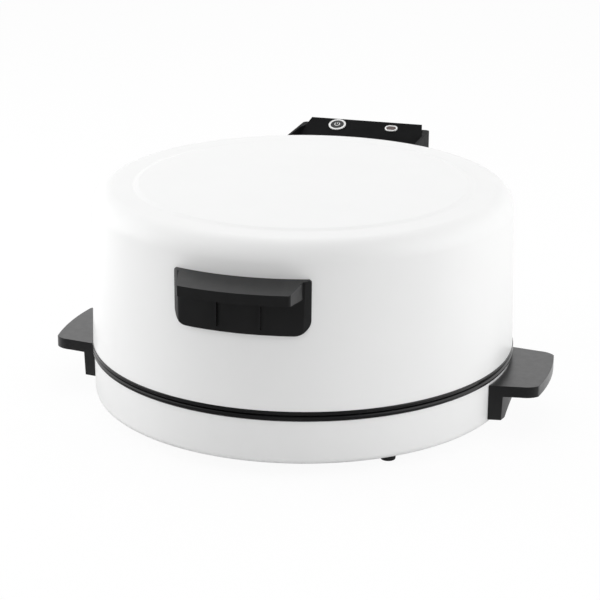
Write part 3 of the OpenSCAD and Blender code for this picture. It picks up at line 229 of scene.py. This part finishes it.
def satin_paint():
    """White paint with a fine orange peel under a thin gloss."""
    paint = tuple(colours().paint)
    made = Finish("satin_paint", Coat_Weight=0.22, Coat_Roughness=0.16, Specular_IOR_Level=0.5)
    made.into("Base Color", made.shades(made.noise(9.0, 3.0), (0.3, times(paint, 0.985)), (0.7, paint)))
    made.into("Roughness", made.span(made.noise(30.0, 3.0), 0.33, 0.42))
    return made.bump(made.noise(900.0, 2.0), 0.05, 0.0002).material


def satin_plastic():
    """Black heat-resistant plastic with a fine moulded grain, a little greyer in patches."""
    plastic = tuple(colours().plastic)
    made = Finish("satin_plastic", Specular_IOR_Level=0.5, Coat_Weight=0.3, Coat_Roughness=0.3)
    made.into("Base Color", made.shades(made.noise(40.0, 4.0), (0.35, plastic), (0.75, times(plastic, 1.5))))
    made.into("Roughness", made.span(made.noise(160.0, 3.0), 0.3, 0.4))
    return made.bump(made.noise(2600.0, 3.0), 0.12, 0.0001).material


def matt_plastic():
    """Duller black plastic of the housings and of the control panel."""
    plastic = tuple(colours().plastic)
    made = Finish("matt_plastic", Specular_IOR_Level=0.04)
    made.into("Base Color", made.shades(
        made.noise(35.0, 4.0), (0.35, times(plastic, 0.6)), (0.75, plastic)
    ))
    made.into("Roughness", made.span(made.noise(180.0, 3.0), 0.46, 0.56))
    return made.bump(made.noise(2200.0, 3.0), 0.14, 0.0001).material


def gloss_bead():
    """Glossy black of the two rim beads."""
    rim = tuple(colours().rim)
    made = Finish("gloss_bead", Specular_IOR_Level=0.6)
    made.into("Base Color", made.shades(made.noise(25.0), (0.4, rim), (0.7, times(rim, 1.6))))
    made.into("Roughness", made.span(made.noise(60.0, 3.0), 0.14, 0.22))
    return made.bump(made.noise(500.0), 0.04, 0.0002).material


def baking_coat():
    """Non-stick coating with turned rings and fine pale flecks."""
    coating = tuple(colours().coating)
    made = Finish("baking_coat", Specular_IOR_Level=0.5)
    flecks = made.shades(
        made.cells(420.0), (0.0, (0.16, 0.16, 0.165)), (0.09, times(coating, 1.6)), (0.2, coating)
    )
    made.into("Base Color", flecks)
    made.into("Roughness", made.span(made.noise(70.0, 4.0), 0.36, 0.52))
    return made.bump(made.rings(260.0), 0.16, 0.00012).material


def bright_aluminium():
    """Spun sheet with faint rings."""
    made = Finish("bright_aluminium", metal=1.0)
    made.into("Base Color", made.shades(
        made.noise(18.0, 4.0), (0.3, (0.7, 0.71, 0.72)), (0.7, (0.82, 0.83, 0.84))
    ))
    made.into("Roughness", made.span(made.noise(90.0, 4.0), 0.24, 0.38))
    return made.bump(made.rings(420.0), 0.1, 0.00008).material


def zinc_steel():
    """Zinc-plated sheet and screws, with faint cloudy crystals."""
    made = Finish("zinc_steel", metal=1.0)
    made.into("Base Color", made.shades(
        made.cells(160.0), (0.1, (0.5, 0.52, 0.54)), (0.6, (0.64, 0.65, 0.66))
    ))
    made.into("Roughness", made.span(made.noise(220.0, 4.0), 0.26, 0.42))
    return made.bump(made.noise(1100.0, 2.0), 0.06, 0.0001).material


def heater_sheath():
    """Steel tube darkened by heat, brown to blue."""
    made = Finish("heater_sheath", metal=1.0)
    made.into("Base Color", made.shades(
        made.noise(22.0, 3.0),
        (0.3, (0.17, 0.16, 0.17)), (0.5, (0.25, 0.21, 0.18)), (0.72, (0.2, 0.21, 0.25)),
    ))
    made.into("Roughness", made.span(made.noise(300.0, 3.0), 0.35, 0.5))
    return made.bump(made.noise(1400.0), 0.08, 0.0001).material


def steatite():
    """Unglazed white ceramic."""
    made = Finish("steatite")
    made.into("Base Color", made.shades(
        made.noise(120.0, 4.0), (0.3, (0.76, 0.73, 0.66)), (0.7, (0.84, 0.82, 0.76))
    ))
    made.into("Roughness", made.span(made.noise(400.0), 0.5, 0.66))
    return made.bump(made.noise(1500.0, 4.0), 0.15, 0.0001).material


def mineral_wool():
    """Pressed fibre blanket."""
    made = Finish("mineral_wool", rough=0.95)
    made.into("Base Color", made.shades(
        made.noise(260.0, 6.0),
        (0.3, (0.44, 0.38, 0.22)), (0.55, (0.7, 0.64, 0.44)), (0.8, (0.82, 0.78, 0.62)),
    ))
    return made.bump(made.noise(700.0, 6.0, made.stretched((1.0, 1.0, 3.0))), 0.8, 0.0008).material


def woven_sleeve(name, dark, light):
    """A lead in a woven sleeve."""
    made = Finish(name, rough=0.7)
    weave = made.node("ShaderNodeTexWave", {"Vector": made.place, "Scale": 260.0, "Distortion": 1.0},
                      bands_direction="DIAGONAL").outputs["Fac"]
    made.into("Base Color", made.shades(weave, (0.2, dark), (0.8, light)))
    return made.bump(weave, 0.4, 0.0002).material


def moulded(name, colour, rough=0.45, **plain):
    """A small moulded piece with a fine grain."""
    made = Finish(name, **plain)
    made.into("Base Color", made.shades(made.noise(150.0, 3.0), (0.3, times(colour, 0.92)), (0.7, colour)))
    made.into("Roughness", made.span(made.noise(500.0), rough - 0.06, rough + 0.06))
    return made.bump(made.noise(2000.0, 2.0), 0.08, 0.0001).material


def circuit_board():
    """Green board with a pattern of paler tracks."""
    made = Finish("circuit_board", rough=0.4)
    tracks = made.node("ShaderNodeTexBrick", {
        "Vector": made.place, "Scale": 120.0, "Mortar Size": 0.03,
        "Color1": (0.02, 0.14, 0.06, 1), "Color2": (0.025, 0.17, 0.07, 1), "Mortar": (0.08, 0.3, 0.12, 1),
    })
    made.into("Base Color", tracks.outputs["Color"])
    return made.bump(tracks.outputs["Fac"], 0.3, 0.0001).material


def lens_smoke():
    """Smoky lens of the pilot lamp with fine prisms."""
    made = Finish("lens_smoke", Specular_IOR_Level=0.6, Coat_Weight=0.4, Coat_Roughness=0.05)
    wave = made.node("ShaderNodeTexWave", {"Vector": made.place, "Scale": 180.0}, bands_direction="X")
    prisms = wave.outputs["Fac"]
    made.into("Base Color", made.shades(prisms, (0.2, (0.03, 0.012, 0.01)), (0.8, (0.07, 0.03, 0.022))))
    made.into("Roughness", made.span(made.noise(300.0), 0.14, 0.24))
    return made.bump(prisms, 0.5, 0.0003).material


FINISHES = {}


def finish(name):
    """A finish by its name, made the first time that it is asked for."""
    if name not in FINISHES:
        FINISHES[name] = {
            "paint": satin_paint,
            "plastic": satin_plastic,
            "housing": matt_plastic,
            "bead": gloss_bead,
            "coat": baking_coat,
            "aluminium": bright_aluminium,
            "zinc": zinc_steel,
            "heater": heater_sheath,
            "ceramic": steatite,
            "wool": mineral_wool,
            "board": circuit_board,
            "lens": lens_smoke,
            "sleeve": lambda: woven_sleeve("grey_sleeve", (0.2, 0.205, 0.21), (0.4, 0.41, 0.42)),
            "earth": lambda: woven_sleeve("earth_sleeve", (0.05, 0.3, 0.06), (0.75, 0.72, 0.08)),
            "rubber": lambda: moulded("foot_rubber", (0.02, 0.02, 0.021), 0.75),
            "bezel": lambda: moulded("white_bezel", (0.84, 0.84, 0.83), 0.3, Coat_Weight=0.3),
            "button": lambda: moulded("button_black", (0.014, 0.014, 0.015), 0.3),
            "component": lambda: moulded("component_dark", (0.03, 0.05, 0.12), 0.4),
            "lamp": lambda: moulded("lamp_glass", (0.8, 0.34, 0.12), 0.2, Coat_Weight=0.5),
        }[name]()
    return FINISHES[name]


def add_piece(name, verts, faces, coat, body, replaces=(), sharp=40.0):
    """A new smooth-shaded piece that rides on a body."""
    mesh = bpy.data.meshes.new(name)
    mesh.from_pydata([tuple(v) for v in verts], [], faces)
    work = bmesh.new()
    work.from_mesh(mesh)
    bmesh.ops.remove_doubles(work, verts=work.verts, dist=1e-7)
    bmesh.ops.recalc_face_normals(work, faces=work.faces)
    work.to_mesh(mesh)
    work.free()
    mesh.polygons.foreach_set("use_smooth", [True] * len(mesh.polygons))
    mesh.set_sharp_from_angle(angle=math.radians(sharp))
    piece = bpy.data.objects.new(name, mesh)
    bpy.context.scene.collection.objects.link(piece)
    mesh.materials.append(finish(coat))
    even = piece.modifiers.new("even_shading", "WEIGHTED_NORMAL")
    even.keep_sharp = True
    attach(piece, body)
    if replaces:
        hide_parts(*replaces)
    return piece


def dress(node, coat, edge=0.0):
    """Gives a solid its finish, and rounds its edges with modifiers."""
    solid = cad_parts[node]
    solid.data.materials.clear()
    solid.data.materials.append(finish(coat))
    if edge:
        weld = solid.modifiers.new("join", "WELD")
        weld.merge_threshold = 2e-6
        flat = solid.modifiers.new("flat_faces", "DECIMATE")
        flat.decimate_type = "DISSOLVE"
        flat.angle_limit = math.radians(0.6)
        rounded = solid.modifiers.new("rounded_edges", "BEVEL")
        rounded.width = edge
        rounded.segments = 2
        rounded.limit_method = "ANGLE"
        rounded.angle_limit = math.radians(40.0)
        rounded.use_clamp_overlap = True
        even = solid.modifiers.new("even_shading", "WEIGHTED_NORMAL")
        even.keep_sharp = True
    return solid


def turned(profile, steps, centre):
    """Vertices and faces of a closed profile of (radius, height) turned about a vertical axis."""
    verts, rings, faces = [], [], []
    for r, z in profile:
        if r < 1e-7:
            rings.append([len(verts)])
            verts.append((centre[0], centre[1], z))
        else:
            rings.append(list(range(len(verts), len(verts) + steps)))
            for i in range(steps):
                a = 2 * math.pi * i / steps
                verts.append((centre[0] + r * math.cos(a), centre[1] + r * math.sin(a), z))
    for low, high in zip(rings, rings[1:] + rings[:1]):
        if len(low) == 1 and len(high) == 1:
            continue
        for i in range(steps):
            j = (i + 1) % steps
            ring = []
            for index in (low[i % len(low)], low[j % len(low)], high[j % len(high)], high[i % len(high)]):
                if index not in ring:
                    ring.append(index)
            faces.append(ring)
    return verts, faces


def arc(cx, cy, r, start, end, count):
    """Points on an arc, with its angles in degrees."""
    return [
        (cx + r * math.cos(math.radians(start + (end - start) * i / count)),
         cy + r * math.sin(math.radians(start + (end - start) * i / count)))
        for i in range(count + 1)
    ]


def eased(points, radius, count=4):
    """A closed outline with each of its corners rounded by a small radius."""
    straight, most = math.radians(165), 0.45
    out = []
    total = len(points)
    for i, p in enumerate(points):
        p, a, b = Vector(p), Vector(points[i - 1]), Vector(points[(i + 1) % total])
        u, w = (a - p), (b - p)
        turn = u.angle(w, 0.0)
        cut = min(radius / max(math.tan(turn / 2), 1e-6), u.length * most, w.length * most)
        if turn > straight or radius <= 0:
            out.append(tuple(p))
            continue
        first, last = p + u.normalized() * cut, p + w.normalized() * cut
        for k in range(count + 1):
            t = k / count
            out.append(tuple(first * (1 - t) ** 2 + p * 2 * t * (1 - t) + last * t * t))
    return out


def any_ray(tree, *kinds):
    """One where a ray is of one of the kinds, and zero elsewhere."""
    rays = tree.nodes.new("ShaderNodeLightPath").outputs
    chosen = rays[kinds[0]]
    for kind in kinds[1:]:
        either = tree.nodes.new("ShaderNodeMath")
        either.operation = "MAXIMUM"
        tree.links.new(chosen, either.inputs[0])
        tree.links.new(rays[kind], either.inputs[1])
        chosen = either.outputs[0]
    return chosen


def fade(tree, value, start, end, low, high):
    """A smooth change from low to high while the value goes from start to end."""
    ramp = tree.nodes.new("ShaderNodeMapRange")
    ramp.interpolation_type = "SMOOTHSTEP"
    tree.links.new(value, ramp.inputs["Value"])
    for key, number in (("From Min", start), ("From Max", end), ("To Min", low), ("To Max", high)):
        ramp.inputs[key].default_value = number
    return ramp.outputs["Result"]


def white_light(tree, output, lit, seen):
    """Mixes a plain shader for the light on things with the white that the camera and mirrors see."""
    chosen = any_ray(tree, "Is Camera Ray", "Is Glossy Ray", "Is Transmission Ray")
    mix = tree.nodes.new("ShaderNodeMixShader")
    tree.links.new(chosen, mix.inputs["Fac"])
    tree.links.new(lit, mix.inputs[1])
    tree.links.new(seen, mix.inputs[2])
    tree.links.new(mix.outputs[0], tree.nodes[output].inputs["Surface"])


class PIZZA_OT_stage(bpy.types.Operator):
    """Make the floor, the soft light and the camera"""

    bl_idname = "pizza_maker.stage"
    bl_label = "Studio"

    def execute(self, context):
        white = (*colours().backdrop, 1.0)
        self.floor(white)
        self.world(context, white)
        self.lamps(context)
        camera = bpy.data.objects.new("view", bpy.data.cameras.new("view"))
        context.scene.collection.objects.link(camera)
        camera.location = (0.5099, -1.7903, 0.7327)
        camera.rotation_euler = [math.radians(angle) for angle in (71.12, -0.2365, 16.081)]
        camera.data.lens = 117.4
        camera.data.shift_x = -0.0049
        camera.data.clip_start = 0.05
        context.scene.camera = camera
        context.scene.view_settings.view_transform = "Standard"
        return {"FINISHED"}

    def floor(self, white):
        """A wide floor that shows white and keeps a part of the shadow."""
        mesh = bpy.data.meshes.new("studio_floor")
        work = bmesh.new()
        bmesh.ops.create_circle(work, cap_ends=True, segments=96, radius=14.0)
        work.to_mesh(mesh)
        work.free()
        floor = bpy.data.objects.new("studio_floor", mesh)
        floor.location.z = -0.0002
        bpy.context.scene.collection.objects.link(floor)
        made = bpy.data.materials.new("studio_white")
        made.use_nodes = True
        tree = made.node_tree
        tree.nodes.remove(tree.nodes["Principled BSDF"])
        lit = tree.nodes.new("ShaderNodeBsdfDiffuse")
        lit.inputs["Color"].default_value = (0.94, 0.94, 0.94, 1.0)
        shine = tree.nodes.new("ShaderNodeEmission")
        shine.inputs["Color"].default_value = white
        place = tree.nodes.new("ShaderNodeTexCoord").outputs["Object"]
        split = tree.nodes.new("ShaderNodeSeparateXYZ")
        tree.links.new(place, split.inputs[0])
        front = fade(tree, split.outputs["Y"], -0.25, 0.15, 0.08, 1.0)
        mirrored = tree.nodes.new("ShaderNodeMath")
        mirrored.operation = "MAXIMUM"
        tree.links.new(front, mirrored.inputs[0])
        tree.links.new(any_ray(tree, "Is Camera Ray", "Is Transmission Ray"), mirrored.inputs[1])
        tree.links.new(mirrored.outputs[0], shine.inputs["Strength"])
        kept = tree.nodes.new("ShaderNodeMixShader")
        kept.inputs["Fac"].default_value = 0.93
        tree.links.new(lit.outputs[0], kept.inputs[1])
        tree.links.new(shine.outputs[0], kept.inputs[2])
        white_light(tree, "Material Output", lit.outputs[0], kept.outputs[0])
        mesh.materials.append(made)

    def world(self, context, white):
        """White for the camera, an even light on things, and a dark front and ceiling in mirrors."""
        made = bpy.data.worlds.new("studio_light")
        made.use_nodes = True
        tree = made.node_tree
        seen = tree.nodes["Background"]
        seen.inputs["Color"].default_value = white
        way = tree.nodes.new("ShaderNodeSeparateXYZ")
        tree.links.new(tree.nodes.new("ShaderNodeTexCoord").outputs["Generated"], way.inputs[0])
        dim = tree.nodes.new("ShaderNodeMath")
        dim.operation = "MULTIPLY"
        tree.links.new(fade(tree, way.outputs["Y"], -0.65, -0.1, 0.15, 1.0), dim.inputs[0])
        tree.links.new(fade(tree, way.outputs["Z"], 0.8, 0.95, 1.0, 0.15), dim.inputs[1])
        bright = tree.nodes.new("ShaderNodeMath")
        bright.operation = "MAXIMUM"
        tree.links.new(dim.outputs[0], bright.inputs[0])
        tree.links.new(any_ray(tree, "Is Camera Ray", "Is Transmission Ray"), bright.inputs[1])
        tree.links.new(bright.outputs[0], seen.inputs["Strength"])
        lit = tree.nodes.new("ShaderNodeBackground")
        lit.inputs["Color"].default_value = (1.0, 1.0, 1.0, 1.0)
        lit.inputs["Strength"].default_value = 0.63
        white_light(tree, "World Output", lit.outputs[0], seen.outputs[0])
        context.scene.world = made

    def lamps(self, context):
        """Wide soft lamps on both sides and overhead."""
        for name, place, aim, size, watts in (
            ("lamp_left", (-1.8, -0.15, 0.8), (0, 0, 0.12), 1.3, 19.5),
            ("lamp_right", (1.8, 0.0, 0.8), (0, 0, 0.12), 1.3, 12.5),
            ("lamp_over", (0.0, 0.5, 1.9), (0, 0, 0.1), 1.8, 8.5),
        ):
            data = bpy.data.lights.new(name, "AREA")
            data.shape = "SQUARE"
            data.size = size
            data.energy = watts
            lamp = bpy.data.objects.new(name, data)
            lamp.location = place
            lamp.rotation_euler = (Vector(aim) - Vector(place)).to_track_quat("-Z", "Y").to_euler()
            lamp.visible_glossy = False
            context.scene.collection.objects.link(lamp)


def dress_all(coat, *nodes, edge=0.0):
    """Gives several solids the same finish."""
    for node in nodes:
        dress(node, coat, edge)


class PIZZA_OT_lid(bpy.types.Operator):
    """Make the domed lid with its round shoulder and raised middle"""

    bl_idname = "pizza_maker.lid"
    bl_label = "Lid"

    def execute(self, context):
        size = sizes()
        foot_r, foot_z = LID[1].x, LID[0].z
        sheet, rise, foot_edge = 0.0008, 0.0016, 0.0002
        flat_r, bend_in, bend_out = 0.08, 0.004, 0.002
        slope = ((0.0038, 0.0), (0.0028, 0.00004), (0.0017, 0.0003))
        top = LID[1].z - rise
        r = size.shoulder
        cx, cz = foot_r - size.lid_draft - r, top - r
        step = size.lid_step
        profile = [(foot_r - foot_edge, foot_z), (foot_r, foot_z + foot_edge)]
        profile += arc(cx, cz, r, 0, 90, 24)
        profile += [(step + out, top + up) for out, up in slope]
        profile += [(step, top + rise / 2)]
        profile += [(step - out, top + rise - up) for out, up in reversed(slope)]
        profile += [
            (flat_r, top + rise), (0.0, top + rise), (0.0, top + rise - sheet),
            (step - bend_in, top + rise - sheet), (step + bend_out, top - sheet),
        ]
        profile += arc(cx, cz, r - sheet, 90, 0, 12)
        profile += [(foot_r - sheet, foot_z)]
        verts, faces = turned(profile, size.steps, (0.0, AXIS_Y))
        add_piece("lid_dome", verts, faces, "paint", "lid", ("lid_shell",), 60.0)
        return {"FINISHED"}


class PIZZA_OT_beads(bpy.types.Operator):
    """Make the glossy bead at the foot of the lid"""

    bl_idname = "pizza_maker.beads"
    bl_label = "Lid bead"

    def execute(self, context):
        z0, z1 = RIM[0].z, RIM[1].z
        b = (z1 - z0) / 2
        width, edge, lip = 0.007, 0.0005, 0.0001
        play, reach, sunk = 0.00015, 0.0010, 0.00005
        c, inner = RIM_R - b, RIM_R - width
        groove_out, groove_in = LID[1].x + play, LID[1].x - reach
        floor = LID[0].z - sunk
        end = math.degrees(math.acos((groove_out - c) / b))
        profile = [(inner, z0 + edge), (inner + edge, z0)]
        profile += arc(c, z0 + b, b, -90, end, 20)
        profile += [
            (groove_out, floor), (groove_in, floor), (groove_in, z1 - lip), (c, z1),
            (inner + edge, z1), (inner, z1 - edge),
        ]
        verts, faces = turned(profile, sizes().steps, (0.0, AXIS_Y))
        add_piece("lid_bead", verts, faces, "bead", "lid", ("lid_trim_ring",))
        return {"FINISHED"}


def ring_places(angles, radius):
    """Places on a ring, with angles in degrees from the front towards the right."""
    return [
        (radius * math.sin(math.radians(a)), AXIS_Y - radius * math.cos(math.radians(a))) for a in angles
    ]


def joined(*parts):
    """Vertices and faces of several meshes as one."""
    verts, faces = [], []
    for more, rings in parts:
        faces += [[i + len(verts) for i in ring] for ring in rings]
        verts += more
    return verts, faces


class PIZZA_OT_baking_plate(bpy.types.Operator):
    """Make the coated baking plate with its glossy edge and the bosses under it"""

    bl_idname = "pizza_maker.baking_plate"
    bl_label = "Baking plate"

    def execute(self, context):
        rim, seat = PLATE[1].z, WALL[1].z
        edge_w, depth, sheet, lip = 0.013, 0.0083, 0.0035, 0.0025
        middle, flat, ease, slack = 0.05, 0.1, 0.0012, 0.0001
        root, chamfer = 0.0005, 0.0004
        b = (rim - seat) / 2
        c, inner = RIM_R - b, RIM_R - edge_w
        bake = rim - depth
        under = bake - sheet
        outline = [
            (inner - 0.006, bake), (inner - lip, bake + 0.002), (inner, rim), (c, rim),
        ]
        outer = arc(c, seat + b, b, 86, -90, 22)
        back = [(inner + lip, seat), (inner + lip, under + 0.0055), (inner - 0.003, under)]
        soft = eased([(flat, bake)] + outline + outer + back + [(flat, under)], ease, 4)
        round_part = [p for p in soft if p[0] > flat + slack]
        profile = [(0.0, bake), (middle, bake)] + round_part + [(0.0, under)]
        main = turned(profile, sizes().steps, (0.0, AXIS_Y))
        bosses = []
        posts, clamps = (45, 135, 225, 315), (-80, -30, 30, 80, 130, 230)
        post_ring, clamp_in, clamp_out = 0.168, 0.129, 0.151
        stat_x, stat_y = 0.012, AXIS_Y + 0.060
        for places, r, drop in (
            (ring_places(posts, post_ring), 0.005, 0.004),
            (ring_places(clamps, clamp_in), 0.0046, 0.008),
            (ring_places(clamps, clamp_out), 0.0046, 0.008),
            ([(-stat_x, stat_y), (stat_x, stat_y)], 0.0035, 0.004),
        ):
            for place in places:
                bosses.append(turned(
                    [(0.0, under + root), (r, under + root), (r, under - drop + chamfer),
                     (r - chamfer, under - drop), (0.0, under - drop)], 32, place,
                ))
        verts, faces = joined(main, *bosses)
        plate = add_piece(
            "baking_plate_coated", verts, faces, "coat", "base", ("baking_plate",)
        )
        plate.data.materials.append(finish("bead"))
        for face in plate.data.polygons:
            if math.hypot(face.center.x, face.center.y - AXIS_Y) > inner + 0.001:
                face.material_index = 1
        return {"FINISHED"}


class PIZZA_OT_base(bpy.types.Operator):
    """Paint the shallow base and finish its rubber feet"""

    bl_idname = "pizza_maker.base"
    bl_label = "Base"

    def execute(self, context):
        dress("base_shell", "paint", 0.0002)
        dress("feet", "rubber", 0.0006)
        return {"FINISHED"}


class PIZZA_OT_lid_handle(bpy.types.Operator):
    """Finish the handle on the lid"""

    bl_idname = "pizza_maker.lid_handle"
    bl_label = "Lid handle"

    def execute(self, context):
        dress("lid_handle", "plastic", 0.001)
        return {"FINISHED"}


class PIZZA_OT_side_handles(bpy.types.Operator):
    """Finish the two side handles"""

    bl_idname = "pizza_maker.side_handles"
    bl_label = "Side handles"

    def execute(self, context):
        dress_all("plastic", "side_handle_left", "side_handle_right", edge=0.0014)
        return {"FINISHED"}


class PIZZA_OT_rear_housings(bpy.types.Operator):
    """Finish the housings behind the lid and the base, with the cord gland"""

    bl_idname = "pizza_maker.rear_housings"
    bl_label = "Rear housings"

    def execute(self, context):
        dress_all("housing", "rear_housing_upper", "rear_cover_lower", edge=0.0007)
        dress_all("housing", "cord_gland", "wall_grommet", edge=0.0003)
        return {"FINISHED"}


class PIZZA_OT_controls(bpy.types.Operator):
    """Finish the control panel, its button and its pilot lamp"""

    bl_idname = "pizza_maker.controls"
    bl_label = "Control panel"

    def execute(self, context):
        dress("control_panel", "housing", 0.0005)
        dress_all("bezel", "button_bezel", "pilot_bezel", edge=0.0003)
        dress("pilot_lens", "lens", 0.0003)
        dress("power_button", "button", 0.0004)
        self.symbol(math.pi / 2 - sizes().panel_slope)
        return {"FINISHED"}

    def symbol(self, tilt):
        """A raised ring with a gap and a bar, on the cap of the button."""
        out = Vector((0.0, -math.cos(tilt), math.sin(tilt)))
        right, back = Vector((1.0, 0.0, 0.0)), Vector((0.0, math.sin(tilt), math.cos(tilt)))
        points = [v.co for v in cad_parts["power_button"].data.vertices]
        level = max(p.dot(out) for p in points)
        face = [p for p in points if level - p.dot(out) < 1e-6]
        middle = sum(face, Vector()) / len(face)
        ring_r, stroke, proud, sunk, steps, gap = 0.0027, 0.00035, 0.0002, 0.0001, 40, 38
        start, end = math.radians(90 + gap), math.radians(450 - gap)
        ring = []
        for i in range(steps + 1):
            a = start + (end - start) * i / steps
            ring.append([(math.cos(a) * r, math.sin(a) * r) for r in (ring_r - stroke, ring_r + stroke)])
        bar_foot, bar_top = 0.0004, ring_r + 0.0009
        bar = [[(-stroke, y), (stroke, y)] for y in (bar_foot, bar_top)]
        verts, faces = [], []
        for strip in (ring, bar):
            base = len(verts)
            for a, b in strip:
                for (x, y), lift in ((a, -sunk), (b, -sunk), (b, proud), (a, proud)):
                    verts.append(middle + right * x + back * y + out * lift)
            for i in range(len(strip) - 1):
                k = base + 4 * i
                faces += [[k + j, k + (j + 1) % 4, k + 4 + (j + 1) % 4, k + 4 + j] for j in range(4)]
            last = base + 4 * (len(strip) - 1)
            faces += [[base, base + 1, base + 2, base + 3], [last, last + 1, last + 2, last + 3]]
        add_piece("power_symbol", verts, faces, "bezel", "button", (), 30.0)


class PIZZA_OT_hinge(bpy.types.Operator):
    """Finish the bracket, the arms and the pins of the hinge"""

    bl_idname = "pizza_maker.hinge"
    bl_label = "Hinge"

    def execute(self, context):
        dress_all("zinc", "hinge_bracket", "hinge_arms", edge=0.0003)
        dress_all("zinc", "hinge_pins", "pin_clips", edge=0.0002)
        return {"FINISHED"}


class PIZZA_OT_heating(bpy.types.Operator):
    """Finish the heaters and what holds them, the reflector, the liner and the insulation"""

    bl_idname = "pizza_maker.heating"
    bl_label = "Heating"

    def execute(self, context):
        dress_all("heater", "lower_heater", "upper_heater")
        dress_all("zinc", "lower_heater_clamps", "upper_heater_hangers", "plate_posts", edge=0.0002)
        dress_all("aluminium", "lower_reflector", "lid_liner")
        dress_all("ceramic", "heater_bushings", "plate_thermostat", edge=0.0003)
        dress("lid_insulation", "wool")
        return {"FINISHED"}


class PIZZA_OT_fixings(bpy.types.Operator):
    """Finish the screws, nuts and rivets"""

    bl_idname = "pizza_maker.fixings"
    bl_label = "Screws and rivets"

    def execute(self, context):
        dress_all(
            "zinc", "clamp_screws", "thermostat_screws", "post_screws", "foot_screws", "foot_nuts",
            "side_handle_screws", "bracket_rivets", "lower_cover_screws", "earth_screw", "lid_handle_screws",
            "arm_rivets", "upper_housing_screws", "board_screws", edge=0.00015,
        )
        return {"FINISHED"}


class PIZZA_OT_wiring(bpy.types.Operator):
    """Finish the leads, the terminals and the board with its components"""

    bl_idname = "pizza_maker.wiring"
    bl_label = "Wiring"

    def execute(self, context):
        dress_all("sleeve", "lower_leads", "supply_lead_lower", "upper_leads", "supply_lead_upper")
        dress("earth_lead", "earth")
        dress("terminal_block", "ceramic", 0.0004)
        dress("thermal_fuse", "zinc", 0.0002)
        dress("control_board", "board")
        dress_all("component", "board_switch", "board_relay", edge=0.0004)
        dress("board_lamp", "lamp")
        return {"FINISHED"}


OPERATORS = (
    PIZZA_OT_stage,
    PIZZA_OT_base,
    PIZZA_OT_baking_plate,
    PIZZA_OT_lid,
    PIZZA_OT_beads,
    PIZZA_OT_lid_handle,
    PIZZA_OT_side_handles,
    PIZZA_OT_rear_housings,
    PIZZA_OT_controls,
    PIZZA_OT_hinge,
    PIZZA_OT_heating,
    PIZZA_OT_fixings,
    PIZZA_OT_wiring,
)


class PIZZA_PT_panel(bpy.types.Panel):
    """Sizes, colours and pieces of the pizza maker"""

    bl_idname = "PIZZA_PT_panel"
    bl_label = "Pizza Maker"
    bl_space_type = "VIEW_3D"
    bl_region_type = "UI"
    bl_category = "Pizza Maker"

    def draw(self, context):
        for title, group in (("Sizes", sizes()), ("Colours", colours())):
            box = self.layout.box()
            box.label(text=title)
            for name in group.bl_rna.properties.keys():
                if name not in ("rna_type", "name"):
                    box.prop(group, name)
        for operator in OPERATORS:
            self.layout.operator(operator.bl_idname)


CLASSES = (PizzaMakerSizes, PizzaMakerColours, *OPERATORS, PIZZA_PT_panel)


def register():
    """Registers the classes and the two groups of settings."""
    for each in CLASSES:
        bpy.utils.register_class(each)
    bpy.types.Scene.pizza_maker_sizes = PointerProperty(type=PizzaMakerSizes)
    bpy.types.Scene.pizza_maker_colours = PointerProperty(type=PizzaMakerColours)


def unregister():
    """Takes the settings and the classes away again."""
    del bpy.types.Scene.pizza_maker_colours
    del bpy.types.Scene.pizza_maker_sizes
    for each in reversed(CLASSES):
        bpy.utils.unregister_class(each)


def main():
    """Makes every piece in order."""
    register()
    for operator in OPERATORS:
        group, name = operator.bl_idname.split(".")
        getattr(getattr(bpy.ops, group), name)()
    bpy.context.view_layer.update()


if __name__ == "__main__":
    main()
